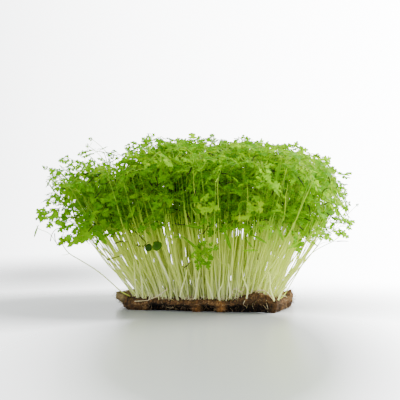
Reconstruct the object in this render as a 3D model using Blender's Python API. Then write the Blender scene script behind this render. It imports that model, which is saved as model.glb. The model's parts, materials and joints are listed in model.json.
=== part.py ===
"""A slab of living chervil microgreens on the coir felt mat that they were sown on.

Metres, +Z up, +X along the mat's length. The origin is the middle of the mat's underside.
Strips of matted roots stand in plain slots in the mat, and each strip carries a few seedlings
that lean outwards in a fan. A seedling is a slim stem with one cut leaf. A sproutling, which is
younger, has only a pair of narrow seed leaves, some with the seed's husk still on a tip.
"""

import math
import random

import bmesh
import bpy
import numpy as np
from mathutils import Matrix, Vector, noise
from mathutils.bvhtree import BVHTree

# Growing mat
MAT_LENGTH = 0.106
MAT_DEPTH = 0.072
MAT_THICKNESS = 0.0072
MAT_COLUMNS, MAT_ROWS = 16, 11
CORNER_ROUNDING = 0.34
EDGE_WANDER, EDGE_WAVES = 0.0016, 120
EDGE_ROUGHNESS, ROUGH_WAVES = 0.0009, 260
SURFACE_RELIEF, RELIEF_WAVES, FINE_WAVES = 0.0012, 70, 190
# The curled up ends: the left one along its whole length, the right one only towards the back
RIM_RISE = 0.0036
RIM_START = 0.85
RIGHT_RIM_FROM, RIGHT_RIM_OVER = -0.004, 0.022
CURL_MEAN, CURL_SWING = 0.75, 0.5
CURL_WAVES = (25, 45)
HUMP_RISE = 0.0050
HUMP_PLACE = (0.037, -0.031)
HUMP_WIDTH = 0.012
# The torn left lip: how far it flares out, where it starts, and where along the edge it is
LIP_REACH = 0.0085
LIP_START = 0.86
LIP_MIDDLE, LIP_WIDTH = -0.012, 0.013
LIP_RETURNS = (0.20, 0.34, 0.34)
# Rings of the mat's edge, from the top down: share of the thickness, and how far the ring stands out
EDGE_RINGS = ((0.62, 0.0012), (0.28, -0.0010), (0.0, -0.0026))

# Strips of matted roots and the plain slots that they stand in
STRIP_COLUMNS, STRIP_ROWS = 6, 5
STRIP_PITCH_X, STRIP_PITCH_Y = 0.0153, 0.0131
STRIP_STAGGER = 0.0022
STRIP_JITTER = 0.0008
STRIP_LENGTH, STRIP_WIDTH = 0.0116, 0.0056
STRIP_TAPER = 0.78
STRIP_SIDES = 6
STRIP_STANDS_OUT = 0.0010
STRIP_DEPTH = 0.0034
SLOT_GAP = 0.0005
SLOT_HEADROOM = 0.0045
SLOT_TAPER = 0.84
SPROUT_HOLE_HEIGHT = 0.012

# Seedlings
STRIP_SEEDLINGS = 4
ROOT_SPACING = 0.0026
ROOT_ZIGZAG = 0.0007
STEM_RADIUS = 0.00056
STEM_TAPER = 0.3
NECK_RADIUS = 0.00025
TIP_RADIUS = 0.00012
STEM_SIDES = 3
STEM_STATIONS = (0.0, 0.07, 0.52, 1.0)
ROOT_LEAN = 0.35
LEAN_X, LEAN_Y = 36.0, 27.0
LEAN_LEFT = 2.6
LEAN_POWER = 1.25
FAN_X, FAN_Y = 4.0, 5.0
LEAN_SPREAD = 2.5
STEM_OUT_FIRST, STEM_LIFT = 1.14, 0.42
EDGE_SHARE = 0.8
LENGTH_INNER, LENGTH_OUTER = (0.068, 0.097), (0.045, 0.092)
TALLER_SHARE = 0.8
LEAF_LENGTH = (0.0190, 0.0260)
LATE_SHRINK = 0.3
LEAF_SWING, LATE_SWING = 55.0, 110.0
# How far a leaf heads out from the mat's middle, and aside from its strip's other leaves
HEAD_OUT, HEAD_ASIDE, HEAD_ALONG = 1.3, 0.5, 0.35
PITCH_INNER, PITCH_OUTER = (-25.0, 65.0), (-65.0, 35.0)
LEAF_ROLL = 45.0
LEAF_DROOP, LEAF_CUP = (0.10, 0.30), (0.10, 0.45)
BLADE_THICKNESS = 0.0006
NECK_LENGTH = 0.0022
PETIOLE_SINK = 0.05
PETIOLE_DROP = 0.00005
SEED_LEAF_LENGTH = (0.012, 0.016)
SEED_LEAF_WIDTH = 0.0020
SEED_LEAF_SAG = 0.22
SEED_LEAF_TILT = 25.0
SPROUTLING = 1
SPROUTLING_EVERY = 2
MOST_ATTEMPTS = 120

# Stragglers that hang out of the crowd: strip and seedling, then lean in degrees along X and Y,
# length, heading and pitch of the leaf in degrees, and the leaf's length
STRAGGLERS = {
    (6, 0): (-50, -8, 0.070, 182, 16, 0.0250),
    (12, 0): (-46, 3, 0.070, 170, -48, 0.0240),
    (11, 3): (44, -10, 0.051, -25, 35, 0.0230),
    (3, 2): (1, -33, 0.046, -82, -70, 0.0190),
    (5, 3): (27, -13, 0.078, -20, -40, 0.0210),
    (18, 2): (-32, 8, 0.094, 165, 25, 0.0240),
    (13, 2): (-14, 2, 0.101, 115, 12, 0.0240),
    (12, 2): (-21, -2, 0.100, 150, 10, 0.0230),
}
STRAGGLER_NUDGE = 0.4

# Clearance between neighbours while they are being placed
BLADE_CLEARANCE = 0.0005
BLADE_MARGIN = 1.05
STEM_TO_BLADE = 0.0012
STEM_TO_STEM = 0.0016
SISTER_STEMS = 0.0013
STEM_SAMPLES = 34
ROOT_SHARE = 0.22
FARTHEST_NEIGHBOUR = 0.13

# Outline of a cut leaf: half of it, from the stalk round to the tip, as shares of its length
FULL_LEAF = (
    (0.00, 0.035),
    (0.20, 0.040),
    (0.07, 0.270),
    (0.20, 0.290),
    (0.27, 0.520),
    (0.36, 0.330),
    (0.46, 0.370),
    (0.37, 0.045),
    (0.55, 0.040),
    (0.60, 0.270),
    (0.70, 0.130),
    (0.82, 0.170),
    (1.00, 0.000),
)
SMALL_LEAF = (
    (0.00, 0.040),
    (0.22, 0.045),
    (0.12, 0.340),
    (0.26, 0.290),
    (0.38, 0.490),
    (0.41, 0.045),
    (0.57, 0.045),
    (0.68, 0.270),
    (1.00, 0.000),
)
SEED_LEAF_PAIR = ((-1.00, 0.00), (-0.50, 0.50), (0.00, 0.20), (0.50, 0.50), (1.00, 0.00))

# Seed husks that still hang on some seed leaves
HUSK_EVERY = 4
HUSK_LENGTH = 0.0085
HUSK_RADIUS = 0.00065
HUSK_SINK = 0.0016
# How far along the husk each ring of it lies, and the ring's share of its radius
HUSK_PROFILE = ((0.0, 0.55), (0.35, 1.0), (0.75, 0.8), (1.0, 0.25))

# The stray sprout with two round seed leaves, at the front of the mat
SPROUT_STATIONS = (
    (-0.0195, -0.0290, 0.0032),
    (-0.0195, -0.0290, 0.0115),
    (-0.0180, -0.0400, 0.0205),
    (-0.0230, -0.0520, 0.0388),
)
SPROUT_RADIUS = 0.00075
SPROUT_LEAVES = (((0.0008, -0.0008, 0.0034), 0.0031), ((-0.0048, -0.0002, 0.0022), 0.0024))
SPROUT_LEAF_SIDES = 9
SPROUT_LEAF_THICKNESS = 0.0008
SPROUT_LEAF_TILT = 68.0
SPROUT_STALK_RADIUS = 0.0005

WELD_DISTANCE = 1e-6

COIR = (0.115, 0.052, 0.024)
LEAF_GREEN = (0.130, 0.330, 0.020)
SPROUT_GREEN = (0.060, 0.190, 0.020)


def clear_scene():
    for thing in list(bpy.data.objects):
        bpy.data.objects.remove(thing, do_unlink=True)


def make_material(name, colour, roughness):
    material = bpy.data.materials.new(name)
    material.use_nodes = True
    surface = material.node_tree.nodes["Principled BSDF"]
    surface.inputs["Base Color"].default_value = (*colour, 1.0)
    surface.inputs["Roughness"].default_value = roughness
    surface.inputs["Metallic"].default_value = 0.0
    return material


def smooth_step(value):
    value = min(max(value, 0.0), 1.0)
    return value * value * (3 - 2 * value)


def add_object(name, mesh, collection, material=None):
    thing = bpy.data.objects.new(name, mesh)
    collection.objects.link(thing)
    if material:
        mesh.materials.clear()
        mesh.materials.append(material)
    return thing


def solid_from_curve(guide):
    """The closed mesh of a curve object, with its caps welded on. The curve is removed."""
    graph = bpy.context.evaluated_depsgraph_get()
    mesh = bpy.data.meshes.new_from_object(guide.evaluated_get(graph))
    bpy.data.objects.remove(guide)
    shape = bmesh.new()
    shape.from_mesh(mesh)
    bmesh.ops.remove_doubles(shape, verts=shape.verts, dist=WELD_DISTANCE)
    bmesh.ops.triangulate(shape, faces=shape.faces)
    bmesh.ops.recalc_face_normals(shape, faces=shape.faces)
    shape.to_mesh(mesh)
    shape.free()
    return mesh


# The mat


def mat_point(across, along):
    """Where a place on the mat lies in plan. across and along run from -1 to 1."""
    x = across * math.sqrt(1 - CORNER_ROUNDING * along**2 / 2) * MAT_LENGTH / 2
    y = along * math.sqrt(1 - CORNER_ROUNDING * across**2 / 2) * MAT_DEPTH / 2
    return x, y


def felt(x, y, waves, layer):
    """Smooth noise between about -1 and 1, with so many waves a metre."""
    return noise.noise(Vector((x * waves, y * waves, layer)))


def mat_top(x, y):
    """Height of the mat's top: uneven felt, both ends curled up, a hump at the front edge."""
    lumps = felt(x, y, RELIEF_WAVES, 1.7) + 0.5 * felt(x, y, FINE_WAVES, 5.2)
    end = smooth_step((abs(x) / (MAT_LENGTH / 2) - RIM_START) / (1 - RIM_START))
    curl = CURL_MEAN + CURL_SWING * noise.noise(Vector((x * CURL_WAVES[0], y * CURL_WAVES[1], 9.1)))
    away = math.hypot(x - HUMP_PLACE[0], y - HUMP_PLACE[1]) / HUMP_WIDTH
    hump = HUMP_RISE * math.exp(-(away**2))
    raised = smooth_step((y - RIGHT_RIM_FROM) / RIGHT_RIM_OVER) if x > 0 else 1.0
    return MAT_THICKNESS + SURFACE_RELIEF * lumps + RIM_RISE * end * curl * raised + hump


def lip_reach(x, y):
    """How far the torn left lip flares out past the mat's edge."""
    left = smooth_step((-x / (MAT_LENGTH / 2) - LIP_START) / (1 - LIP_START))
    middle = math.exp(-(((y - LIP_MIDDLE) / LIP_WIDTH) ** 2))
    return LIP_REACH * left * middle


def outward(x, y):
    direction = Vector((x / MAT_LENGTH**2, y / MAT_DEPTH**2, 0.0))
    return direction.normalized() if direction.length else direction


def build_mat(material, collection):
    """An uneven top sheet, three rings of edge under it, and a flat underside."""
    shape = bmesh.new()
    bmesh.ops.create_grid(shape, x_segments=MAT_COLUMNS, y_segments=MAT_ROWS, size=1.0)
    for corner in shape.verts:
        across, along = corner.co.x, corner.co.y
        x, y = mat_point(across, along)
        if corner.is_boundary:
            wander = outward(x, y) * EDGE_WANDER * felt(x, y, EDGE_WAVES, 3.3)
            x, y = x + wander.x, y + wander.y
        corner.co = (x - lip_reach(x, y), y, mat_top(x, y))
    rim = [edge for edge in shape.edges if edge.is_boundary]
    for (share, stands_out), returns in zip(EDGE_RINGS, LIP_RETURNS):
        ring = bmesh.ops.extrude_edge_only(shape, edges=rim)["geom"]
        rim = [part for part in ring if isinstance(part, bmesh.types.BMEdge)]
        for corner in {corner for edge in rim for corner in edge.verts}:
            x, y = corner.co.x, corner.co.y
            rough = EDGE_ROUGHNESS * felt(x, y, ROUGH_WAVES, share * 31) if share else 0.0
            drift = outward(x, y) * (stands_out + rough)
            corner.co.x += drift.x + returns * lip_reach(x + lip_reach(x, y), y)
            corner.co.y += drift.y
            corner.co.z = MAT_THICKNESS * share
    bmesh.ops.contextual_create(shape, geom=rim)
    bmesh.ops.recalc_face_normals(shape, faces=shape.faces)
    mesh = bpy.data.meshes.new("growing_mat")
    shape.to_mesh(mesh)
    shape.free()
    return add_object("growing_mat", mesh, collection, material)


# Strips of roots


def strip_places():
    """The middle of each strip: staggered rows over the mat."""
    places = []
    for row in range(STRIP_ROWS):
        for column in range(STRIP_COLUMNS):
            chance = random.Random(100 * row + column)
            stagger = STRIP_STAGGER if row % 2 else -STRIP_STAGGER
            x = (column - (STRIP_COLUMNS - 1) / 2) * STRIP_PITCH_X + stagger
            y = (row - (STRIP_ROWS - 1) / 2) * STRIP_PITCH_Y
            x += chance.uniform(-STRIP_JITTER, STRIP_JITTER)
            y += chance.uniform(-STRIP_JITTER, STRIP_JITTER)
            places.append((x, y))
    return places


def strip_top(place):
    x, y = place
    reach = STRIP_LENGTH / 2
    return max(mat_top(x + shift, y) for shift in (-reach, 0.0, reach)) + STRIP_STANDS_OUT


def plug(name, size, foot_share, low, high, centre):
    """A stretched six-sided plug from low to high, narrower at its foot."""
    length, width = size
    shape = bmesh.new()
    bmesh.ops.create_cone(
        shape,
        cap_ends=True,
        segments=STRIP_SIDES,
        radius1=foot_share / 2,
        radius2=0.5,
        depth=high - low,
        matrix=Matrix.Translation((*centre, (low + high) / 2)) @ Matrix.Diagonal((length, width, 1, 1)),
    )
    mesh = bpy.data.meshes.new(name)
    shape.to_mesh(mesh)
    shape.free()
    return mesh


# Seedlings, as numbers


def inward_rank(place, member):
    """0 for the seedling of a strip nearest to the mat's edge, so that it can stay the lowest."""

    def outwardness(number):
        step = (number - (STRIP_SEEDLINGS - 1) / 2) / STRIP_SEEDLINGS
        side = 1 if number % 2 else -1
        return step * place[0] / MAT_LENGTH + side * place[1] / MAT_DEPTH

    order = sorted(range(STRIP_SEEDLINGS), key=outwardness, reverse=True)
    return order.index(member)


def draw_seedling(strip, place, member, attempt):
    """All that chance decides about one seedling, the same each time for the same numbers."""
    chance = random.Random(10000 * strip + 100 * member + attempt)
    across = place[0] / (MAT_LENGTH / 2)
    along = place[1] / (MAT_DEPTH / 2)
    edge = min(1.0, max(abs(across), abs(along)) / EDGE_SHARE)
    lean_x = LEAN_X * math.copysign(abs(across) ** LEAN_POWER, across)
    lean_y = LEAN_Y * math.copysign(abs(along) ** LEAN_POWER, along)
    step = member - (STRIP_SEEDLINGS - 1) / 2
    side = 1 if member % 2 else -1
    lean_x += step * FAN_X - LEAN_LEFT + chance.uniform(-LEAN_SPREAD, LEAN_SPREAD)
    lean_y += side * FAN_Y + chance.uniform(-LEAN_SPREAD, LEAN_SPREAD)
    low, high = ((1 - edge) * a + edge * b for a, b in zip(LENGTH_INNER, LENGTH_OUTER))
    down, up = ((1 - edge) * a + edge * b for a, b in zip(PITCH_INNER, PITCH_OUTER))
    share = (inward_rank(place, member) + chance.uniform(0.0, 1.0)) / STRIP_SEEDLINGS
    out = math.atan2(HEAD_OUT * along + HEAD_ASIDE * side, HEAD_OUT * across + HEAD_ALONG * step)
    late = attempt / MOST_ATTEMPTS
    swing = LEAF_SWING + LATE_SWING * late
    seedling = {
        "lean": (math.radians(lean_x), math.radians(lean_y)),
        "length": low + (high - low) * share**TALLER_SHARE,
        "heading": out + math.radians(chance.uniform(-swing, swing)),
        "leaf_length": chance.uniform(*LEAF_LENGTH) * (1 - LATE_SHRINK * late),
        "pitch": math.radians(chance.uniform(down, up)),
        "roll": math.radians(chance.uniform(-LEAF_ROLL, LEAF_ROLL)),
        "droop": chance.uniform(*LEAF_DROOP),
        "cup": chance.uniform(*LEAF_CUP),
        "full": (strip + member) % 2 == 0,
        "seed_leaf_length": chance.uniform(*SEED_LEAF_LENGTH),
        "seed_leaf_heading": math.radians(chance.uniform(0, 180)),
        "seed_leaf_tilt": math.radians(chance.uniform(-SEED_LEAF_TILT, SEED_LEAF_TILT)),
    }
    if (strip, member) in STRAGGLERS:
        lean_x, lean_y, length, heading, pitch, leaf_length = STRAGGLERS[strip, member]
        nudge = STRAGGLER_NUDGE * attempt
        seedling["lean"] = (math.radians(lean_x + nudge), math.radians(lean_y + nudge / 2))
        seedling["heading"] = math.radians(heading + nudge)
        seedling["pitch"] = math.radians(pitch)
        seedling["length"] = length
        seedling["leaf_length"] = leaf_length
        seedling["full"] = True
    return seedling


def stem_stations(root, seedling):
    """Points along a stem. It leans outwards from its root and lifts a little towards its tip."""
    slope_x, slope_y = (math.tan(angle) for angle in seedling["lean"])
    points = [root]
    for before, after in zip(STEM_STATIONS, STEM_STATIONS[1:]):
        middle = (before + after) / 2
        give = ROOT_LEAN if before == 0.0 else STEM_OUT_FIRST - STEM_LIFT * middle
        way = Vector((slope_x * give, slope_y * give, 1.0)).normalized()
        points.append(points[-1] + way * (after - before) * seedling["length"])
    return points


def leaf_frame(tip, seedling):
    """Matrix of a leaf: X along its rib, Z up out of its face, a short neck above the stem's tip."""
    heading, pitch = seedling["heading"], seedling["pitch"]
    rib = Vector(
        (math.cos(heading) * math.cos(pitch), math.sin(heading) * math.cos(pitch), math.sin(pitch))
    )
    side = Vector((-math.sin(heading), math.cos(heading), 0.0))
    face = rib.cross(side)
    turn = Matrix.Rotation(seedling["roll"], 3, rib)
    side, face = turn @ side, turn @ face
    frame = Matrix((rib, side, face)).transposed().to_4x4()
    frame.translation = tip + rib * NECK_LENGTH
    return frame


def leaf_point(u, v, lift, seedling, frame):
    """A point of the arched blade. u runs along the rib and v across it, as shares of its length."""
    size = seedling["leaf_length"]
    sag = seedling["droop"] * u * u + seedling["cup"] * v * v
    return frame @ Vector((u * size, v * size, lift - sag * size))


def seed_leaf_frame(tip, seedling):
    """Matrix of the pair of narrow seed leaves at a stem's tip, which spread to both sides of it."""
    heading, tilt = seedling["seed_leaf_heading"], seedling["seed_leaf_tilt"]
    rib = Vector(
        (math.cos(heading) * math.cos(tilt), math.sin(heading) * math.cos(tilt), math.sin(tilt))
    )
    across = Vector((-math.sin(heading), math.cos(heading), 0.0))
    frame = Matrix((rib, across, rib.cross(across))).transposed().to_4x4()
    frame.translation = tip
    return frame


def seed_leaf_point(u, v, lift, seedling, frame):
    """A point of the pair of seed leaves. u runs from one tip at -1 to the other at 1."""
    size = seedling["seed_leaf_length"]
    return frame @ Vector((u * size, v * SEED_LEAF_WIDTH, lift - SEED_LEAF_SAG * u * u * size))


# Blades, as meshes


def blade_template(name, half):
    """A thin flat blade from half of its outline, one unit long, two units thick."""
    outline = [*half, *[(u, -v) for u, v in reversed(half) if v]]
    curve = bpy.data.curves.new(name, "CURVE")
    curve.dimensions = "2D"
    curve.fill_mode = "BOTH"
    curve.extrude = 1.0
    spline = curve.splines.new("POLY")
    spline.points.add(len(outline) - 1)
    for point, (u, v) in zip(spline.points, outline):
        point.co = (u, v, 0.0, 1.0)
    spline.use_cyclic_u = True
    guide = bpy.data.objects.new(name, curve)
    bpy.context.scene.collection.objects.link(guide)
    return solid_from_curve(guide)


def bent_blade(template, thickness, place):
    """Copy of a template, with place(u, v, lift) giving each corner's point."""
    mesh = template.copy()
    for corner in mesh.vertices:
        u, v, side = corner.co
        corner.co = place(u, v, math.copysign(thickness / 2, side))
    mesh.update()
    return mesh


def blade_tree(meshes):
    """All these blades as one search tree."""
    points, faces = [], []
    for mesh in meshes:
        first = len(points)
        points += [corner.co.copy() for corner in mesh.vertices]
        faces += [[first + corner for corner in face.vertices] for face in mesh.polygons]
    return BVHTree.FromPolygons(points, faces)


# Placing each seedling clear of the others


def dense_points(stations):
    """Points close together along a stem, and the share of the way at which each lies."""
    lengths = [(b - a).length for a, b in zip(stations, stations[1:])]
    whole = sum(lengths)
    points, shares, done = [], [], 0.0
    for start, end, length in zip(stations, stations[1:], lengths):
        count = max(2, round(STEM_SAMPLES * length / whole))
        points += [start.lerp(end, number / count) for number in range(count)]
        shares += [(done + length * number / count) / whole for number in range(count)]
        done += length
    return np.array([*points, stations[-1]]), np.array([*shares, 1.0])


def stems_meet(new, other):
    """Whether two stems come too close. Those of one strip may near each other at the root."""
    same = new["strip"] == other["strip"]
    start = ROOT_SHARE if same else 0.0
    first = new["line"][new["shares"] >= start]
    second = other["line"][other["shares"] >= start]
    ways = second[1:] - second[:-1]
    shares = np.einsum("ijk,jk->ij", first[:, None] - second[None, :-1], ways) / (ways**2).sum(-1)
    nearest = second[None, :-1] + np.clip(shares, 0, 1)[..., None] * ways[None]
    gap = SISTER_STEMS if same else STEM_TO_STEM
    return float(np.linalg.norm(first[:, None] - nearest, axis=-1).min()) < gap


def stem_meets_blades(stem, bearer):
    """Whether a stem comes too close to another seedling's blades."""
    low, high = bearer["blade_box"]
    points = stem["line"]
    near = ((points > low - STEM_TO_BLADE) & (points < high + STEM_TO_BLADE)).all(axis=1)
    for point in points[near]:
        if bearer["tree"].find_nearest(Vector(point), STEM_TO_BLADE)[0] is not None:
            return True
    return False


def stands_clear(new, others):
    for other in others:
        if (new["middle"] - other["middle"]).length > FARTHEST_NEIGHBOUR:
            continue
        if new["tree"].overlap(other["tree"]):
            return False
        if stem_meets_blades(new, other) or stem_meets_blades(other, new):
            return False
        if stems_meet(new, other):
            return False
    return True


def blades_of(seedling, templates, thickness, margin=1.0):
    """The cut leaf of a seedling, or a sproutling's pair of seed leaves and the husk on one of them."""
    frame = seedling["frame"]
    point = seed_leaf_point if seedling["sproutling"] else leaf_point

    def place(u, v, lift):
        return point(u * margin, v * margin, lift, seedling, frame)

    if not seedling["sproutling"]:
        return [bent_blade(templates["full" if seedling["full"] else "small"], thickness, place)]
    blades = [bent_blade(templates["seed"], thickness, place)]
    if seedling["husk"]:
        blades.append(husk_mesh(seedling, HUSK_RADIUS + (thickness - BLADE_THICKNESS) / 2))
    return blades


def with_search_tree(planned, meshes):
    """Adds what the placing needs: dense stem points and a search tree of blades."""
    planned["tree"] = blade_tree(meshes)
    corners = np.array([corner.co for mesh in meshes for corner in mesh.vertices])
    planned["blade_box"] = (corners.min(axis=0), corners.max(axis=0))
    planned["line"], planned["shares"] = dense_points(planned["stations"])
    planned["middle"] = sum(planned["stations"], Vector()) / len(planned["stations"])
    return planned


def plan_seedling(strip, place, member, attempt, templates):
    """One candidate, with what is needed to test it against the others."""
    seedling = draw_seedling(strip, place, member, attempt)
    step = member - (STRIP_SEEDLINGS - 1) / 2
    foot = (place[0] + step * ROOT_SPACING, place[1] + (ROOT_ZIGZAG if member % 2 else -ROOT_ZIGZAG))
    root = Vector((*foot, strip_top(place) - STEM_RADIUS))
    stations = stem_stations(root, seedling)
    seedling["strip"] = strip
    seedling["sproutling"] = member == SPROUTLING and strip % SPROUTLING_EVERY == 1
    seedling["husk"] = strip % HUSK_EVERY == 1
    if seedling["sproutling"]:
        seedling["frame"] = seed_leaf_frame(stations[-1], seedling)
    else:
        seedling["frame"] = leaf_frame(stations[-1], seedling)
        stations.append(leaf_point(PETIOLE_SINK, 0.0, -PETIOLE_DROP, seedling, seedling["frame"]))
    seedling["stations"] = stations
    thick = blades_of(seedling, templates, BLADE_THICKNESS + 2 * BLADE_CLEARANCE, BLADE_MARGIN)
    with_search_tree(seedling, thick)
    for mesh in thick:
        bpy.data.meshes.remove(mesh)
    return seedling


def plan_seedlings(places, templates, obstacles):
    """Seedlings, each at its first attempt that touches nothing planted before it."""
    planned = list(obstacles)
    by_strip = {strip: [] for strip in range(len(places))}
    turns = [(strip, member) for member in range(STRIP_SEEDLINGS) for strip in range(len(places))]
    turns.sort(key=lambda turn: turn not in STRAGGLERS)
    for strip, member in turns:
        for attempt in range(MOST_ATTEMPTS):
            candidate = plan_seedling(strip, places[strip], member, attempt, templates)
            if stands_clear(candidate, planned):
                planned.append(candidate)
                by_strip[strip].append(candidate)
                break
    return by_strip


# Solids of the seedlings


def tube_mesh(name, points, radii, sides):
    """A slim tube through the points, closed at both ends."""
    ring = bpy.data.curves.new(name + "_section", "CURVE")
    ring.dimensions = "2D"
    section = ring.splines.new("POLY")
    section.points.add(sides - 1)
    for number, point in enumerate(section.points):
        angle = math.tau * number / sides
        point.co = (math.cos(angle), math.sin(angle), 0.0, 1.0)
    section.use_cyclic_u = True
    section_object = bpy.data.objects.new(name + "_section", ring)
    bpy.context.scene.collection.objects.link(section_object)
    curve = bpy.data.curves.new(name, "CURVE")
    curve.dimensions = "3D"
    curve.bevel_mode = "OBJECT"
    curve.bevel_object = section_object
    curve.use_fill_caps = True
    spline = curve.splines.new("POLY")
    spline.points.add(len(points) - 1)
    for point, place, radius in zip(spline.points, points, radii):
        point.co = (*place, 1.0)
        point.radius = radius
    guide = bpy.data.objects.new(name, curve)
    bpy.context.scene.collection.objects.link(guide)
    mesh = solid_from_curve(guide)
    bpy.data.objects.remove(section_object)
    return mesh


def stem_radii(seedling):
    """Slightly tapered up to the neck under the leaf, and thinner still inside the leaf."""
    count = len(seedling["stations"])
    end = [TIP_RADIUS] if seedling["sproutling"] else [NECK_RADIUS, TIP_RADIUS]
    body = count - len(end)
    return [*(STEM_RADIUS * (1 - STEM_TAPER * number / body) for number in range(body)), *end]


def husk_mesh(seedling, radius):
    """A slim seed husk, stuck on the tip of one seed leaf."""
    frame = seedling["frame"]
    tip = seed_leaf_point(1.0, 0.0, 0.0, seedling, frame)
    way = (tip - seed_leaf_point(0.8, 0.0, 0.0, seedling, frame)).normalized()
    start = tip - way * HUSK_SINK
    points = [start + way * HUSK_LENGTH * share for share, _ in HUSK_PROFILE]
    return tube_mesh("husk", points, [radius * share for _, share in HUSK_PROFILE], STEM_SIDES)


def fuse(name, base_mesh, more_meshes, collection, material):
    """One solid from a base and what grows out of it."""
    base = add_object(name, base_mesh, collection, material)
    grown = bpy.data.collections.new(name + "_grown")
    bpy.context.scene.collection.children.link(grown)
    for number, mesh in enumerate(more_meshes):
        add_object(f"{name}_grown_{number}", mesh, grown)
    union = base.modifiers.new("grown", "BOOLEAN")
    union.operation = "UNION"
    union.operand_type = "COLLECTION"
    union.collection = grown
    union.solver = "MANIFOLD"
    graph = bpy.context.evaluated_depsgraph_get()
    joined = bpy.data.meshes.new_from_object(base.evaluated_get(graph))
    base.modifiers.clear()
    base.data = joined
    joined.materials.clear()
    joined.materials.append(material)
    for thing in list(grown.objects):
        bpy.data.objects.remove(thing, do_unlink=True)
    bpy.data.collections.remove(grown)
    return base


def build_seedlings(number, place, seedlings, templates, material, collection):
    name = f"seedlings_{number + 1:02d}"
    top = strip_top(place)
    size = (STRIP_LENGTH, STRIP_WIDTH)
    strip = plug(name, size, STRIP_TAPER, top - STRIP_STANDS_OUT - STRIP_DEPTH, top, place)
    grown = []
    for seedling in seedlings:
        grown.append(tube_mesh(name, seedling["stations"], stem_radii(seedling), STEM_SIDES))
        grown += blades_of(seedling, templates, BLADE_THICKNESS)
    return fuse(name, strip, grown, collection, material)


def cut_slots(mat, places, cutters):
    """The plain slot under each strip of roots, and the sprout's own hole."""
    for number, place in enumerate(places):
        top = strip_top(place)
        foot = top - STRIP_STANDS_OUT - STRIP_DEPTH - SLOT_GAP
        size = (STRIP_LENGTH + 2 * SLOT_GAP, STRIP_WIDTH + 2 * SLOT_GAP)
        mesh = plug("slot", size, SLOT_TAPER, foot, top + SLOT_HEADROOM, place)
        add_object(f"slot_{number + 1:02d}", mesh, cutters)
    x, y, low = SPROUT_STATIONS[0]
    width = 2 * (SPROUT_RADIUS + SLOT_GAP)
    mesh = plug("slot", (width, width), 1.0, low - SLOT_GAP, low + SPROUT_HOLE_HEIGHT, (x, y))
    add_object("slot_sprout", mesh, cutters)
    for cutter in cutters.objects:
        cutter.hide_render = True
        cutter.display_type = "WIRE"
    cut = mat.modifiers.new("slots", "BOOLEAN")
    cut.operation = "DIFFERENCE"
    cut.operand_type = "COLLECTION"
    cut.collection = cutters


# The stray sprout


def round_blade(centre, radius):
    shape = bmesh.new()
    bmesh.ops.create_cone(
        shape,
        cap_ends=True,
        segments=SPROUT_LEAF_SIDES,
        radius1=radius,
        radius2=radius,
        depth=SPROUT_LEAF_THICKNESS,
        matrix=Matrix.Translation(centre) @ Matrix.Rotation(math.radians(SPROUT_LEAF_TILT), 4, "X"),
    )
    mesh = bpy.data.meshes.new("round_blade")
    shape.to_mesh(mesh)
    shape.free()
    return mesh


def build_sprout(material, collection):
    """The sprout, and what the placing of the seedlings needs to keep clear of it."""
    stations = [Vector(point) for point in SPROUT_STATIONS]
    tip = stations[-1]
    grown = []
    for shift, radius in SPROUT_LEAVES:
        centre = tip + Vector(shift)
        grown.append(round_blade(centre, radius))
        grown.append(tube_mesh("stalk", [tip, centre], [SPROUT_STALK_RADIUS] * 2, STEM_SIDES))
    stem = tube_mesh("sprout", stations, [SPROUT_RADIUS] * len(stations), STEM_SIDES)
    sprout = fuse("round_leaf_sprout", stem, grown, collection, material)
    return with_search_tree({"strip": -1, "stations": stations}, [sprout.data])


def main():
    clear_scene()
    scene_root = bpy.context.scene.collection
    part = bpy.data.collections.new("microgreens")
    cutters = bpy.data.collections.new("cutters")
    scene_root.children.link(part)
    scene_root.children.link(cutters)

    coir = make_material("coir", COIR, 0.95)
    green = make_material("seedlings", LEAF_GREEN, 0.55)
    dark_green = make_material("sprout", SPROUT_GREEN, 0.5)

    templates = {
        "full": blade_template("full", FULL_LEAF),
        "small": blade_template("small", SMALL_LEAF),
        "seed": blade_template("seed", SEED_LEAF_PAIR),
    }
    places = strip_places()
    obstacle = build_sprout(dark_green, part)
    seedlings = plan_seedlings(places, templates, [obstacle])
    mat = build_mat(coir, part)
    cut_slots(mat, places, cutters)
    for number, place in enumerate(places):
        build_seedlings(number, place, seedlings[number], templates, green, part)
    total = sum(len(group) for group in seedlings.values())
    print(f"{total} seedlings in {len(places)} strips")


main()
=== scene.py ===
import json
import math
import random

import bmesh
import bpy
import numpy as np
from mathutils import Euler, Matrix, Vector, noise
from mathutils.bvhtree import BVHTree
from mathutils.kdtree import KDTree

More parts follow.
